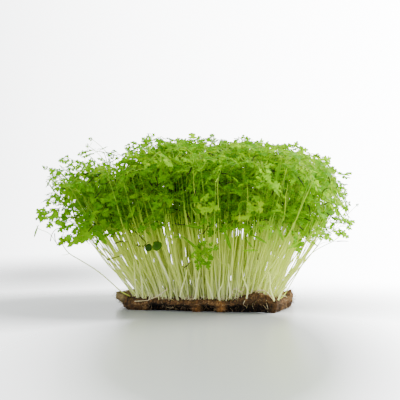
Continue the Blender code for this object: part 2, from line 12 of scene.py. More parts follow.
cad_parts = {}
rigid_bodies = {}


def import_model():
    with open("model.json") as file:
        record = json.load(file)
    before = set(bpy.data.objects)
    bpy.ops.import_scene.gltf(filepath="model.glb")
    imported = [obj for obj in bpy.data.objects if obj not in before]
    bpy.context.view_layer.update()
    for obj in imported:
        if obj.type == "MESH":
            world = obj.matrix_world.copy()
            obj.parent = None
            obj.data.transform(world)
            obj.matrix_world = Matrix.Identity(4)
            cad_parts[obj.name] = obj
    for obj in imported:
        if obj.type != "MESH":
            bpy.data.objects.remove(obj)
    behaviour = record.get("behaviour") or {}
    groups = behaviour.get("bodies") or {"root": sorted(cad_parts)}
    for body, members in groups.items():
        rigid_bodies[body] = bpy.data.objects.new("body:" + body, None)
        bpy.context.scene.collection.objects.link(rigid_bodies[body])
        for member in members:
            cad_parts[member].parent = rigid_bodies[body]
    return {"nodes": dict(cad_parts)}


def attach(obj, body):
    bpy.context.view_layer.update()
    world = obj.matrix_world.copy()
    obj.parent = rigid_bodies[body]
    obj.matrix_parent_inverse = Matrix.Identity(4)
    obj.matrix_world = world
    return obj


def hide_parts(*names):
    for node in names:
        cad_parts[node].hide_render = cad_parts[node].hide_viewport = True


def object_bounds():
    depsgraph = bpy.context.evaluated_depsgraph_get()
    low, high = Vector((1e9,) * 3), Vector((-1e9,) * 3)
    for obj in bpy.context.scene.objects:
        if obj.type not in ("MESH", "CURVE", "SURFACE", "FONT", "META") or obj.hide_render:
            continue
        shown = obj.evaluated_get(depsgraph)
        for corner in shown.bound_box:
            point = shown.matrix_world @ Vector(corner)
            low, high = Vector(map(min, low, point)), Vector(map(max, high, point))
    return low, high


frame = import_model()
cadLow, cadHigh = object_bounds()


# What every piece uses. Vector noise takes its seed from the clock, unless it is given one

noise.seed_set(1)


def linked(name, data):
    made = bpy.data.objects.new(name, data)
    bpy.context.scene.collection.objects.link(made)
    return made


def meshFrom(shape, name):
    mesh = bpy.data.meshes.new(name)
    shape.to_mesh(mesh)
    shape.free()
    return mesh


def store(mesh, name, values, kind="FLOAT"):
    # One value for each corner of the mesh, which the materials and the trees of nodes read by its name
    layer = mesh.attributes.new(name, kind, "POINT")
    flat = np.array(values, dtype=np.int32 if kind == "INT" else np.float32).ravel()
    layer.data.foreach_set("vector" if kind == "FLOAT_VECTOR" else "value", flat)


# A sheet of nodes, for a material or for Geometry Nodes. A wire is one socket on it that takes part
# in sums, so that tint * 0.8 + 0.1 adds the Math nodes.

class Wire:
    def __init__(self, sheet, socket):
        self.sheet = sheet
        self.socket = socket

    def __add__(self, other):
        return self.sheet.maths("ADD", self, other)

    def __radd__(self, other):
        return self.sheet.maths("ADD", other, self)

    def __sub__(self, other):
        return self.sheet.maths("SUBTRACT", self, other)

    def __rsub__(self, other):
        return self.sheet.maths("SUBTRACT", other, self)

    def __mul__(self, other):
        return self.sheet.maths("MULTIPLY", self, other)

    def __rmul__(self, other):
        return self.sheet.maths("MULTIPLY", other, self)


class Sheet:
    def __init__(self, tree):
        self.tree = tree

    def node(self, kind, settings=None, sockets=None, output=0):
        made = self.tree.nodes.new(kind)
        for key, value in (settings or {}).items():
            if key == "stops":
                self.setStops(made.color_ramp, value)
            else:
                setattr(made, key, value)
        for key, value in (sockets or {}).items():
            for one in value if isinstance(value, list) else [value]:
                if isinstance(one, Wire):
                    self.tree.links.new(one.socket, made.inputs[key])
                else:
                    made.inputs[key].default_value = one
        return Wire(self, made.outputs[output]) if len(made.outputs) else made

    def maths(self, operation, first, second=0.0):
        return self.node("ShaderNodeMath", {"operation": operation}, {0: first, 1: second})

    def setStops(self, ramp, stops):
        while len(ramp.elements) < len(stops):
            ramp.elements.new(0.5)
        for element, (place, colour) in zip(ramp.elements, stops):
            element.position = place
            element.color = (*colour, 1)


class Look(Sheet):
    def __init__(self, name):
        self.material = bpy.data.materials.new(name)
        self.material.use_nodes = True
        super().__init__(self.material.node_tree)
        self.tree.nodes.clear()

    def noise(self, scale, detail=3, vector=None):
        vector = vector or self.node("ShaderNodeTexCoord", output="Object")
        return self.node("ShaderNodeTexNoise", {}, {"Vector": vector, "Scale": scale, "Detail": detail})

    def stretched(self, turn, scale):
        place = self.node("ShaderNodeTexCoord", output="Object")
        return self.node("ShaderNodeMapping", {}, {"Vector": place, "Rotation": turn, "Scale": scale})

    def read(self, name):
        return self.node("ShaderNodeAttribute", {"attribute_name": name}, output="Fac")

    def ramp(self, value, finish, *stops):
        # The finish's colours by name, each at its place on the ramp
        stops = [(place, finish[name]) for place, name in stops]
        return self.node("ShaderNodeValToRGB", {"stops": stops}, {0: value})

    def blend(self, share, first, second):
        return self.node("ShaderNodeMix", {"data_type": "RGBA"}, {0: share, 6: first, 7: second}, output=2)

    def bump(self, height, strength, distance):
        return self.node("ShaderNodeBump", {}, {
            "Height": height, "Strength": strength, "Distance": distance})

    def finish(self, surface, glow=None, share=0.0):
        main = self.node("ShaderNodeBsdfPrincipled", {}, surface)
        if glow:
            through = self.node("ShaderNodeBsdfTranslucent", {}, {"Color": (*glow, 1)})
            main = self.node("ShaderNodeMixShader", {}, {0: share, 1: main, 2: through})
        self.node("ShaderNodeOutputMaterial", {}, {"Surface": main})
        return self.material


# Finishes

leafFinish = {
    "deepGreen": (0.012, 0.095, 0.0002),
    "midGreen": (0.068, 0.255, 0.0002),
    "brightGreen": (0.185, 0.400, 0.0002),
    "limeGreen": (0.390, 0.560, 0.0003),
    "veinGreen": (0.260, 0.480, 0.004),
    "throughLight": (0.330, 0.640, 0.0001),
    "throughShare": 0.42,
    "roughness": 0.56,
    "shine": 0.07,
}


def leafLook():
    look = Look("leafGreen")
    # tint holds each leaf's own tone, and painted light that brightens it towards the top and the right
    tint = look.read("tint")
    along = look.read("alongBlade")
    across = look.read("acrossBlade")
    mottle = look.noise(420, 2)
    shade = tint * 0.86 + mottle * 0.26 - 0.07
    green = look.ramp(shade, leafFinish, (0.0, "deepGreen"), (0.42, "midGreen"), (0.78, "brightGreen"),
                      (1.0, "limeGreen"))
    rib = 1 - look.maths("MINIMUM", look.maths("ABSOLUTE", across) * 18, 1)
    sideVeins = look.maths("PINGPONG", along * 6 - look.maths("ABSOLUTE", across) * 5, 0.5)
    sideVeins = look.maths("MAXIMUM", sideVeins * 6 - 2.3, 0)
    veins = look.maths("MAXIMUM", rib, sideVeins)
    colour = look.blend(veins * 0.38, green, (*leafFinish["veinGreen"], 1))
    height = mottle * 0.5 - veins
    return look.finish({
        "Base Color": colour,
        "Roughness": mottle * 0.2 + (leafFinish["roughness"] - 0.1),
        "Specular IOR Level": leafFinish["shine"],
        "Normal": look.bump(height, 0.5, 0.0002),
    }, leafFinish["throughLight"], leafFinish["throughShare"])


stemFinish = {
    "white": (0.95, 0.94, 0.66),
    "pale": (0.87, 0.90, 0.36),
    "lemon": (0.81, 0.88, 0.16),
    "yellowGreen": (0.50, 0.72, 0.04),
    "green": (0.14, 0.38, 0.002),
    "deepGreen": (0.060, 0.240, 0.002),
    "throughLight": (0.90, 1.00, 0.22),
    "throughShare": 0.48,
}


def stemLook():
    look = Look("stemPale")
    rise = look.read("rise")
    streaks = look.noise(260, 3, look.stretched((0, 0, 0), (1, 1, 0.12)))
    colour = look.ramp(rise + streaks * 0.16 - 0.08, stemFinish, (0.10, "white"), (0.20, "pale"),
                       (0.44, "lemon"), (0.57, "yellowGreen"), (0.68, "green"), (0.84, "deepGreen"))
    return look.finish({
        "Base Color": colour,
        "Roughness": streaks * 0.2 + 0.32,
        "Specular IOR Level": 0.4,
        "Normal": look.bump(streaks, 0.3, 0.0002),
    }, stemFinish["throughLight"], stemFinish["throughShare"])


huskFinish = {"dark": (0.006, 0.005, 0.003), "brown": (0.045, 0.030, 0.014)}


def huskLook():
    look = Look("seedHusk")
    grain = look.noise(900, 3)
    return look.finish({
        "Base Color": look.ramp(grain, huskFinish, (0.35, "dark"), (0.8, "brown")),
        "Roughness": grain * 0.3 + 0.5,
        "Specular IOR Level": 0.06,
        "Normal": look.bump(grain, 0.5, 0.0002),
    })


matFinish = {
    # The first colour is painted shade, for the front's hollows
    "black": (0.0022, 0.0014, 0.0010),
    "hollow": (0.008, 0.005, 0.003),
    "coir": (0.044, 0.024, 0.011),
    "rust": (0.115, 0.055, 0.018),
    "orange": (0.340, 0.130, 0.022),
    "straw": (0.330, 0.220, 0.100),
    "olive": (0.200, 0.150, 0.060),
    "fibreWaves": 640,
    "grainWaves": 1500,
}


def matLook():
    look = Look("coirFelt")
    waves = matFinish["fibreWaves"]
    strands = [
        look.noise(waves, 4, look.stretched(turn, (1, 0.14, 0.5)))
        for turn in ((0, 0, 0.3), (0, 0.2, 1.7), (0.3, 0, 2.6))
    ]
    strand = look.maths("MAXIMUM", look.maths("MAXIMUM", strands[0], strands[1]), strands[2])
    grain = look.noise(matFinish["grainWaves"], 3)
    patches = look.noise(150, 4)
    fibre = strand * 0.5 + grain * 0.42 + patches * 0.3 - 0.12
    coir = look.ramp(fibre, matFinish, (0.38, "hollow"), (0.50, "coir"), (0.58, "rust"), (0.69, "straw"))
    # Painted shade: the felt's colours darkened to near black, for the shade in the front's hollows
    dark = look.ramp(fibre, matFinish, (0.40, "black"), (0.66, "hollow"), (0.8, "coir"))
    rusty = look.ramp(fibre, matFinish, (0.34, "coir"), (0.48, "rust"), (0.66, "orange"))
    dry = look.ramp(fibre, matFinish, (0.32, "coir"), (0.52, "olive"), (0.70, "straw"))
    # Where the shade attribute is set, the felt takes the painted shade of the hollows
    colour = look.blend(look.read("lip"), look.blend(look.read("shade"), coir, dark), dry)
    colour = look.blend(look.read("rust"), colour, rusty)
    return look.finish({
        "Base Color": colour,
        "Roughness": 0.95,
        "Specular IOR Level": 0.15,
        "Normal": look.bump(fibre, 1.0, 0.0016),
    })


fibreFinish = {"dark": (0.020, 0.012, 0.006), "rust": (0.110, 0.055, 0.020), "straw": (0.420, 0.300, 0.160)}


def fibreLook():
    look = Look("looseFibre")
    tint = look.read("tint")
    return look.finish({
        "Base Color": look.ramp(tint, fibreFinish, (0.2, "dark"), (0.72, "rust"), (1.0, "straw")),
        "Roughness": look.noise(800) * 0.2 + 0.7,
        "Specular IOR Level": 0.2,
    })


rootFinish = {"cream": (0.820, 0.740, 0.480), "tan": (0.560, 0.420, 0.200), "throughLight": (0.8, 0.7, 0.4)}


def rootLook():
    look = Look("paleRoot")
    grain = look.noise(350, 3)
    return look.finish({
        "Base Color": look.ramp(grain, rootFinish, (0.36, "tan"), (0.62, "cream")),
        "Roughness": grain * 0.2 + 0.45,
        "Normal": look.bump(grain, 0.4, 0.0003),
    }, rootFinish["throughLight"], 0.2)


sproutFinish = {
    "edge": (0.036, 0.110, 0.001), "heart": (0.014, 0.045, 0.001), "through": (0.09, 0.26, 0.001),
}


def sproutLeafLook():
    look = Look("sproutLeaf")
    grain = look.noise(600, 3)
    middle = look.read("alongBlade")
    return look.finish({
        "Base Color": look.ramp(middle * 0.7 + grain * 0.4, sproutFinish, (0.2, "heart"), (0.9, "edge")),
        "Roughness": grain * 0.2 + 0.5,
        "Specular IOR Level": 0.08,
        "Normal": look.bump(grain, 0.3, 0.0002),
    }, sproutFinish["through"], 0.15)


finishes = {
    "leaf": leafLook(),
    "stem": stemLook(),
    "husk": huskLook(),
    "mat": matLook(),
    "fibre": fibreLook(),
    "root": rootLook(),
    "sproutLeaf": sproutLeafLook(),
}
print("finishes are ready")


# The growing mat's form: the same rule as the solid's, drawn more finely

mat = {
    "length": 0.106, "depth": 0.072, "thickness": 0.0072, "rounding": 0.34,
    "wander": 0.0016, "edgeWaves": 120, "relief": 0.0012, "reliefWaves": 70, "fineWaves": 190,
    "rimRise": 0.0036, "rimStart": 0.85, "rightRim": (-0.004, 0.022), "curl": (0.75, 0.5),
    "curlWaves": (25, 45),
    "humpRise": 0.0050, "humpPlace": (0.037, -0.031), "humpWidth": 0.012,
    "lipReach": 0.0085, "lipStart": 0.86, "lipMiddle": -0.012, "lipWidth": 0.013,
    "columns": 168, "rows": 116,
    "edgeProfile": ((1.0, 0.0, 1.0), (0.62, 0.0012, 0.80), (0.28, 0.0002, 0.46), (0.0, -0.0024, 0.12)),
    "edgeRings": 16,
    "undercut": 0.0042, "hollows": ((-0.035, -0.0034), (0.0006, 0.0124), (0.0164, 0.0455)),
    "hollowReach": 0.66, "hollowFade": 0.30, "hollowSide": 0.003, "hollowFront": 0.02,
    # The painted shade in the front's hollows: how high it reaches, its wave and its blur
    "paintedShadeTop": 0.0058, "paintedShadeWave": 0.0012, "paintedShadeWaves": 260, "paintedShadeBlur": 0.0016,
    "dryStart": 0.90, "dryLow": 0.0035, "dryBlur": 0.004, "lowest": 0.0002,
    "rustyPlaces": ((-0.0014, -0.035, 0.0024), (0.0144, -0.035, 0.0022), (0.054, 0.020, 0.010)),
    "lumps": ((210, 0.00075), (520, 0.00055), (1300, 0.00034)),
}


def smoothStep(value):
    value = min(max(value, 0.0), 1.0)
    return value * value * (3 - 2 * value)


def felt(x, y, waves, layer):
    return noise.noise(Vector((x * waves, y * waves, layer)))


def matPoint(across, along):
    x = across * math.sqrt(1 - mat["rounding"] * along**2 / 2) * mat["length"] / 2
    y = along * math.sqrt(1 - mat["rounding"] * across**2 / 2) * mat["depth"] / 2
    return x, y


def matTop(x, y):
    lumps = felt(x, y, mat["reliefWaves"], 1.7) + 0.5 * felt(x, y, mat["fineWaves"], 5.2)
    end = smoothStep((abs(x) / (mat["length"] / 2) - mat["rimStart"]) / (1 - mat["rimStart"]))
    waves = mat["curlWaves"]
    curl = mat["curl"][0] + mat["curl"][1] * noise.noise(Vector((x * waves[0], y * waves[1], 9.1)))
    raised = smoothStep((y - mat["rightRim"][0]) / mat["rightRim"][1]) if x > 0 else 1.0
    away = math.hypot(x - mat["humpPlace"][0], y - mat["humpPlace"][1]) / mat["humpWidth"]
    hump = mat["humpRise"] * math.exp(-(away**2))
    return mat["thickness"] + mat["relief"] * lumps + mat["rimRise"] * end * curl * raised + hump


def lipReach(x, y):
    left = smoothStep((-x / (mat["length"] / 2) - mat["lipStart"]) / (1 - mat["lipStart"]))
    middle = math.exp(-(((y - mat["lipMiddle"]) / mat["lipWidth"]) ** 2))
    return mat["lipReach"] * left * middle


def outward(x, y):
    way = Vector((x / mat["length"] ** 2, y / mat["depth"] ** 2, 0.0))
    return way.normalized() if way.length else way


def edgeForm(share):
    # How far the side stands out, and how much of the torn lip is left, at this share of the height
    profile = mat["edgeProfile"]
    for (high, outHigh, lipHigh), (low, outLow, lipLow) in zip(profile, profile[1:]):
        if share >= low:
            part = smoothStep((high - share) / (high - low))
            return outHigh + (outLow - outHigh) * part, lipHigh + (lipLow - lipHigh) * part
    return profile[-1][1:]


def hollowAt(x, y, share):
    # The front's lower half is hollowed out, but for the clumps of fibre between the hollows
    if y > 0 or share > mat["hollowReach"]:
        return 0.0
    return mat["undercut"] * hollowShare(x, y) * smoothStep((mat["hollowReach"] - share) / mat["hollowFade"])


def hollowShare(x, y):
    side = mat["hollowSide"]
    deep = max(smoothStep((x - low) / side) * smoothStep((high - x) / side) for low, high in mat["hollows"])
    return deep * smoothStep(-y / mat["hollowFront"])


def rustAt(place):
    x, y = place.x, place.y
    return 0.8 * max(math.exp(-(((x - a) ** 2 + (y - b) ** 2) / size**2))
                     for a, b, size in mat["rustyPlaces"])


def paintedShadeAt(place):
    # How dark the felt is painted: painted shade, black in the front's hollows up to a wavy line, where
    # shade falls under the overhanging top
    wave = noise.noise(Vector((place.x * mat["paintedShadeWaves"], 0.0, 4.4)))
    wavy = mat["paintedShadeTop"] + mat["paintedShadeWave"] * wave
    return hollowShare(place.x, place.y) * smoothStep((wavy - place.z) / mat["paintedShadeBlur"])


def lipAt(place):
    # How dry and pale the felt is: at the torn lip, above its foot
    out = smoothStep((-place.x / (mat["length"] / 2) - mat["dryStart"]) / (1 - mat["dryStart"]))
    return out * smoothStep((place.z - mat["dryLow"]) / mat["dryBlur"])


def fibreLump(place, direction):
    # Clumps of felt: noise of three sizes, pushed out along the surface
    push = 0.0
    for waves, height in mat["lumps"]:
        push += height * noise.noise(place * waves + Vector((3.1, 7.7, waves)))
    return direction * push


def growMat():
    shape = bmesh.new()
    bmesh.ops.create_grid(shape, x_segments=mat["columns"], y_segments=mat["rows"], size=1.0)
    # The rim's corners in order around the grid, so that the mesh is built in the same order each time
    rim = sorted((corner for corner in shape.verts if corner.is_boundary),
                 key=lambda corner: math.atan2(corner.co.y, corner.co.x))
    for corner in shape.verts:
        across, along = corner.co.x, corner.co.y
        x, y = matPoint(across, along)
        edge = smoothStep((max(abs(across), abs(along)) - 0.86) / 0.14)
        wander = outward(x, y) * mat["wander"] * felt(x, y, mat["edgeWaves"], 3.3) * edge
        x, y = x + wander.x, y + wander.y
        corner.co = (x - lipReach(x, y), y, matTop(x, y))
    start = [(corner.co.copy(), corner.co.x + lipReach(corner.co.x + 0.004, corner.co.y)) for corner in rim]
    for ring in range(1, mat["edgeRings"] + 1):
        share = 1 - ring / mat["edgeRings"]
        below = []
        for place, straightX in start:
            out, lip = edgeForm(share)
            out -= hollowAt(straightX, place.y, share)
            reach = straightX - place.x
            way = outward(straightX, place.y)
            x = straightX - reach * lip + way.x * out
            y = place.y + way.y * out
            z = place.z * share if share > 0.62 else mat["thickness"] * share + (
                place.z - mat["thickness"]) * 0.62 * smoothStep(share / 0.62)
            below.append(shape.verts.new((x, y, z)))
        for number in range(len(rim)):
            shape.faces.new((rim[number - 1], rim[number], below[number], below[number - 1]))
        rim = below
    shape.faces.new(rim)
    bmesh.ops.recalc_face_normals(shape, faces=shape.faces)
    shape.normal_update()
    moves = [(corner, fibreLump(corner.co, corner.normal)) for corner in shape.verts if corner.co.z > 0.0003]
    for corner, move in moves:
        corner.co += move
        corner.co.z = max(corner.co.z, mat["lowest"])
    for face in shape.faces:
        face.smooth = len(face.verts) == 4
    mesh = meshFrom(shape, "felt_mat")
    # rust is the felt's own colour, shade is painted shade in the front's hollows, lip is the dry lip
    for key, value in (("rust", rustAt), ("shade", paintedShadeAt), ("lip", lipAt)):
        store(mesh, key, [value(corner.co) for corner in mesh.vertices])
    mesh.materials.append(finishes["mat"])
    return linked("felt_mat", mesh)


# Seedlings. The ones that the solids hold are drawn again by the same rule and the same seeds.

strip = {
    "columns": 6, "rows": 5, "pitchX": 0.0153, "pitchY": 0.0131, "stagger": 0.0022, "jitter": 0.0008,
    "length": 0.0116, "standsOut": 0.0010,
}
seedling = {
    "perStrip": 4, "spacing": 0.0026, "zigzag": 0.0007, "stemRadius": 0.00056,
    "stations": (0.0, 0.07, 0.52, 1.0), "rootLean": 0.35, "leanX": 36.0, "leanY": 27.0, "leanPower": 1.25,
    "leanLeft": 2.6, "fanX": 4.0, "fanY": 5.0, "spread": 2.5, "outFirst": 1.14, "lift": 0.42,
    "edgeShare": 0.8,
    "inner": (0.068, 0.097), "outer": (0.045, 0.092), "taller": 0.8,
    "leafLength": (0.0190, 0.0260), "lateShrink": 0.3, "swing": 55.0, "lateSwing": 110.0,
    "headOut": 1.3, "headAside": 0.5, "headAlong": 0.35,
    "pitchInner": (-25.0, 65.0), "pitchOuter": (-65.0, 35.0), "roll": 45.0,
    "droop": (0.10, 0.30), "cup": (0.10, 0.45), "neck": 0.0022,
    "seedLeafLength": (0.012, 0.016), "seedLeafSag": 0.22, "seedLeafTilt": 25.0, "attempts": 120,
    "huskEvery": 4, "huskLength": 0.0085, "huskSink": 0.0016,
}
stragglers = {
    (6, 0): (-50, -8, 0.070, 182, 16, 0.0250),
    (12, 0): (-46, 3, 0.070, 170, -48, 0.0240),
    (11, 3): (44, -10, 0.051, -25, 35, 0.0230),
    (3, 2): (1, -33, 0.046, -82, -70, 0.0190),
    (5, 3): (27, -13, 0.078, -20, -40, 0.0210),
    (18, 2): (-32, 8, 0.094, 165, 25, 0.0240),
    (13, 2): (-14, 2, 0.101, 115, 12, 0.0240),
    (12, 2): (-21, -2, 0.100, 150, 10, 0.0230),
}


def stripPlaces():
    places = []
    for row in range(strip["rows"]):
        for column in range(strip["columns"]):
            chance = random.Random(100 * row + column)
            stagger = strip["stagger"] if row % 2 else -strip["stagger"]
            x = (column - (strip["columns"] - 1) / 2) * strip["pitchX"] + stagger
            y = (row - (strip["rows"] - 1) / 2) * strip["pitchY"]
            x += chance.uniform(-strip["jitter"], strip["jitter"])
            y += chance.uniform(-strip["jitter"], strip["jitter"])
            places.append((x, y))
    return places


def stripTop(place):
    reach = strip["length"] / 2
    return max(matTop(place[0] + shift, place[1]) for shift in (-reach, 0.0, reach)) + strip["standsOut"]


def inwardRank(place, member):
    def outwardness(number):
        step = (number - (seedling["perStrip"] - 1) / 2) / seedling["perStrip"]
        side = 1 if number % 2 else -1
        return step * place[0] / mat["length"] + side * place[1] / mat["depth"]

    return sorted(range(seedling["perStrip"]), key=outwardness, reverse=True).index(member)


def between(low, high, share):
    return low + (high - low) * share


def leanAt(across, along):
    power = seedling["leanPower"]
    leanX = seedling["leanX"] * math.copysign(abs(across) ** power, across) - seedling["leanLeft"]
    leanY = seedling["leanY"] * math.copysign(abs(along) ** power, along)
    return leanX, leanY


def drawSeedling(number, place, member, attempt):
    chance = random.Random(10000 * number + 100 * member + attempt)
    across, along = place[0] / (mat["length"] / 2), place[1] / (mat["depth"] / 2)
    edge = min(1.0, max(abs(across), abs(along)) / seedling["edgeShare"])
    leanX, leanY = leanAt(across, along)
    step = member - (seedling["perStrip"] - 1) / 2
    side = 1 if member % 2 else -1
    spread = seedling["spread"]
    leanX += step * seedling["fanX"] + chance.uniform(-spread, spread)
    leanY += side * seedling["fanY"] + chance.uniform(-spread, spread)
    low, high = (between(a, b, edge) for a, b in zip(seedling["inner"], seedling["outer"]))
    down, up = (between(a, b, edge) for a, b in zip(seedling["pitchInner"], seedling["pitchOuter"]))
    share = (inwardRank(place, member) + chance.uniform(0.0, 1.0)) / seedling["perStrip"]
    out = math.atan2(seedling["headOut"] * along + seedling["headAside"] * side,
                     seedling["headOut"] * across + seedling["headAlong"] * step)
    late = attempt / seedling["attempts"]
    swing = seedling["swing"] + seedling["lateSwing"] * late
    drawn = {
        "lean": (math.radians(leanX), math.radians(leanY)),
        "length": low + (high - low) * share ** seedling["taller"],
        "heading": out + math.radians(chance.uniform(-swing, swing)),
        "leafLength": chance.uniform(*seedling["leafLength"]) * (1 - seedling["lateShrink"] * late),
        "pitch": math.radians(chance.uniform(down, up)),
        "roll": math.radians(chance.uniform(-seedling["roll"], seedling["roll"])),
        "droop": chance.uniform(*seedling["droop"]),
        "cup": chance.uniform(*seedling["cup"]),
        "full": (number + member) % 2 == 0,
        "seedLeafLength": chance.uniform(*seedling["seedLeafLength"]),
        "seedLeafHeading": math.radians(chance.uniform(0, 180)),
        "seedLeafTilt": math.radians(chance.uniform(-seedling["seedLeafTilt"], seedling["seedLeafTilt"])),
    }
    if (number, member) in stragglers:
        leanX, leanY, length, heading, pitch, leafLength = stragglers[number, member]
        nudge = 0.4 * attempt
        drawn["lean"] = (math.radians(leanX + nudge), math.radians(leanY + nudge / 2))
        drawn["heading"] = math.radians(heading + nudge)
        drawn["pitch"] = math.radians(pitch)
        drawn["length"] = length
        drawn["leafLength"] = leafLength
        drawn["full"] = True
    return drawn


def stemLine(root, drawn):
    slopeX, slopeY = (math.tan(angle) for angle in drawn["lean"])
    points = [root]
    for before, after in zip(seedling["stations"], seedling["stations"][1:]):
        middle = (before + after) / 2
        give = seedling["rootLean"] if before == 0.0 else seedling["outFirst"] - seedling["lift"] * middle
        way = Vector((slopeX * give, slopeY * give, 1.0)).normalized()
        points.append(points[-1] + way * (after - before) * drawn["length"])
    return points


def heading(angle, pitch):
    return Vector((math.cos(angle) * math.cos(pitch), math.sin(angle) * math.cos(pitch), math.sin(pitch)))


def frameOf(rib, side, face, place):
    made = Matrix((rib, side, face)).transposed().to_4x4()
    made.translation = place
    return made


def leafFrame(tip, drawn):
    rib = heading(drawn["heading"], drawn["pitch"])
    side = Vector((-math.sin(drawn["heading"]), math.cos(drawn["heading"]), 0.0))
    face = rib.cross(side)
    turn = Matrix.Rotation(drawn["roll"], 3, rib)
    return frameOf(rib, turn @ side, turn @ face, tip + rib * seedling["neck"])


def leafPoint(u, v, drawn, grid, lift=0.0):
    size = drawn["leafLength"]
    sag = drawn["droop"] * u * u + drawn["cup"] * v * v
    return grid @ Vector((u * size, v * size, lift - sag * size))


def seedLeafFrame(tip, drawn):
    rib = heading(drawn["seedLeafHeading"], drawn["seedLeafTilt"])
    side = Vector((-math.sin(drawn["seedLeafHeading"]), math.cos(drawn["seedLeafHeading"]), 0.0))
    return frameOf(rib, side, rib.cross(side), tip)


def seedLeafPoint(u, drawn, grid):
    size = drawn["seedLeafLength"]
    return grid @ Vector((u * size, 0.0, -seedling["seedLeafSag"] * u * u * size))


def plantedIn(node, number, place):
    # The seedlings of one solid: each at the first draw whose leaf tip is a corner of that solid
    corners = frame["nodes"][node].data.vertices
    tree = KDTree(len(corners))
    for index, corner in enumerate(corners):
        tree.insert(corner.co, index)
    tree.balance()
    found = []
    for member in range(seedling["perStrip"]):
        step = member - (seedling["perStrip"] - 1) / 2
        zigzag = seedling["zigzag"] if member % 2 else -seedling["zigzag"]
        root = Vector((place[0] + step * seedling["spacing"], place[1] + zigzag,
                       stripTop(place) - seedling["stemRadius"]))
        young = member == 1 and number % 2 == 1
        for attempt in range(seedling["attempts"]):
            drawn = drawSeedling(number, place, member, attempt)
            line = stemLine(root, drawn)
            if young:
                grid = seedLeafFrame(line[-1], drawn)
                tip = seedLeafPoint(-1.0, drawn, grid) + grid.col[2].xyz * 0.0003
            else:
                grid = leafFrame(line[-1], drawn)
                tip = leafPoint(1.0, 0.0, drawn, grid, 0.0003)
            if tree.find(tip)[2] < 0.00005:
                husk = young and number % seedling["huskEvery"] == 1
                drawn.update(line=line, grid=grid, young=young, husk=husk)
                found.append(drawn)
                break
    return found


# What grows is first planned as points and lines, which one tree of Geometry Nodes turns into plants

class Plan:
    roles = {"stem": 0, "stalk": 1, "blade": 2, "husk": 3, "root": 4, "twig": 5}
    fullHeight = 0.095

    def __init__(self, name):
        self.name = name
        self.points = []
        self.edges = []
        self.facts = {key: [] for key in ("role", "kind", "thickness", "rise", "size", "tint", "turn")}

    def add(self, role, place, kind=0, thickness=0.0, rise=0.0, size=1.0, tint=0.5, turn=(0, 0, 0)):
        self.points.append(tuple(place))
        values = (self.roles[role], kind, thickness, rise, size, tint, turn)
        for fact, value in zip(self.facts.values(), values):
            fact.append(value)

    def line(self, role, points, thick, rises=None, tint=0.5):
        # Without rises, a stem's colour follows its height
        first = len(self.points)
        for number, point in enumerate(points):
            share = number / (len(points) - 1)
            rise = between(*rises, share) if rises else point[2] / self.fullHeight + (tint - 0.5) * 0.16
            self.add(role, point, thickness=between(*thick, share), rise=rise, tint=tint)
        self.edges += [(first + number, first + number + 1) for number in range(len(points) - 1)]

    def thing(self, role, kind, place, along, up, size, tint):
        along = along.normalized()
        side = up.cross(along).normalized()
        turn = Matrix((along, side, along.cross(side))).transposed().to_euler()
        self.add(role, place, kind=kind, size=size, tint=tint, turn=tuple(turn))

    def object(self):
        mesh = bpy.data.meshes.new(self.name)
        mesh.from_pydata(self.points, self.edges, [])
        kinds = {"role": "INT", "kind": "INT", "turn": "FLOAT_VECTOR"}
        for key, values in self.facts.items():
            store(mesh, key, values, kinds.get(key, "FLOAT"))
        return linked(self.name, mesh)


def curved(points, steps, wobble=0.0, seed=0):
    # A smooth line through the points, with small kinks that fade at both ends
    stations = [points[0] * 2 - points[1], *points, points[-1] * 2 - points[-2]]
    smooth = []
    for number in range(1, len(stations) - 2):
        a, b, c, d = stations[number - 1:number + 3]
        for step in range(steps):
            t = step / steps
            smooth.append(0.5 * (2 * b + (c - a) * t + (2 * a - 5 * b + 4 * c - d) * t * t
                                 + (3 * b - a - 3 * c + d) * t**3))
    smooth.append(points[-1])
    last = len(smooth) - 1
    for number, point in enumerate(smooth):
        fade = min(1.0, 4 * number / last, 4 * (last - number) / last)
        kink = noise.noise_vector(point * 60 + Vector((seed, 0, 0))) * wobble * fade
        low = math.exp(-((number / last - 0.16) / 0.10) ** 2) * min(1.0, 10 * number / last)
        kink += noise.noise_vector(point * 170 + Vector((0, seed, 0))) * wobble * low
        kink.z *= 0.2
        smooth[number] = point + kink
    return smooth


# Leaves. u runs along a leaf's rib and v across it, as shares of its length.

fullLeaf = {
    "rib": 0.66, "ribStalk": (0.00026, 0.00013),
    "branches": ((0.14, 0.27, 0.30), (0.46, 0.565, 0.10)),
    "leaflets": (
        (0.27, 0.30, 62, 0.22), (0.225, 0.17, 122, 0.19), (0.285, 0.215, 8, 0.18),
        (0.56, 0.10, 58, 0.19), (0.585, 0.09, 16, 0.14),
        (0.68, 0.015, 48, 0.17),
    ),
    "tip": (0.70, 0.28),
}
smallLeaf = {
    "rib": 0.58, "ribStalk": (0.00026, 0.00013),
    "branches": ((0.13, 0.22, 0.22),),
    "leaflets": (
        (0.225, 0.225, 58, 0.27), (0.180, 0.12, 118, 0.22), (0.235, 0.17, 0, 0.20),
        (0.54, 0.02, 54, 0.25),
    ),
    "tip": (0.60, 0.36),
}
# This one has a few broad leaflets, and is turned to the viewer
broadLeaf = {
    "rib": 0.52, "ribStalk": (0.00026, 0.00013),
    "branches": ((0.06, 0.16, 0.14),),
    "leaflets": ((0.16, 0.12, 66, 0.44), (0.12, 0.06, 118, 0.30), (0.40, 0.03, 44, 0.40)),
    "tip": (0.50, 0.52),
}
leafForm = {"twist": 20.0, "lift": 17.0, "tintSpread": 0.15}


def leafAxes(u, v, drawn, grid):
    here = leafPoint(u, v, drawn, grid)
    along = (leafPoint(u + 0.02, v, drawn, grid) - here).normalized()
    across = (leafPoint(u, v + 0.02, drawn, grid) - here).normalized()
    return here, along, across, along.cross(across).normalized()


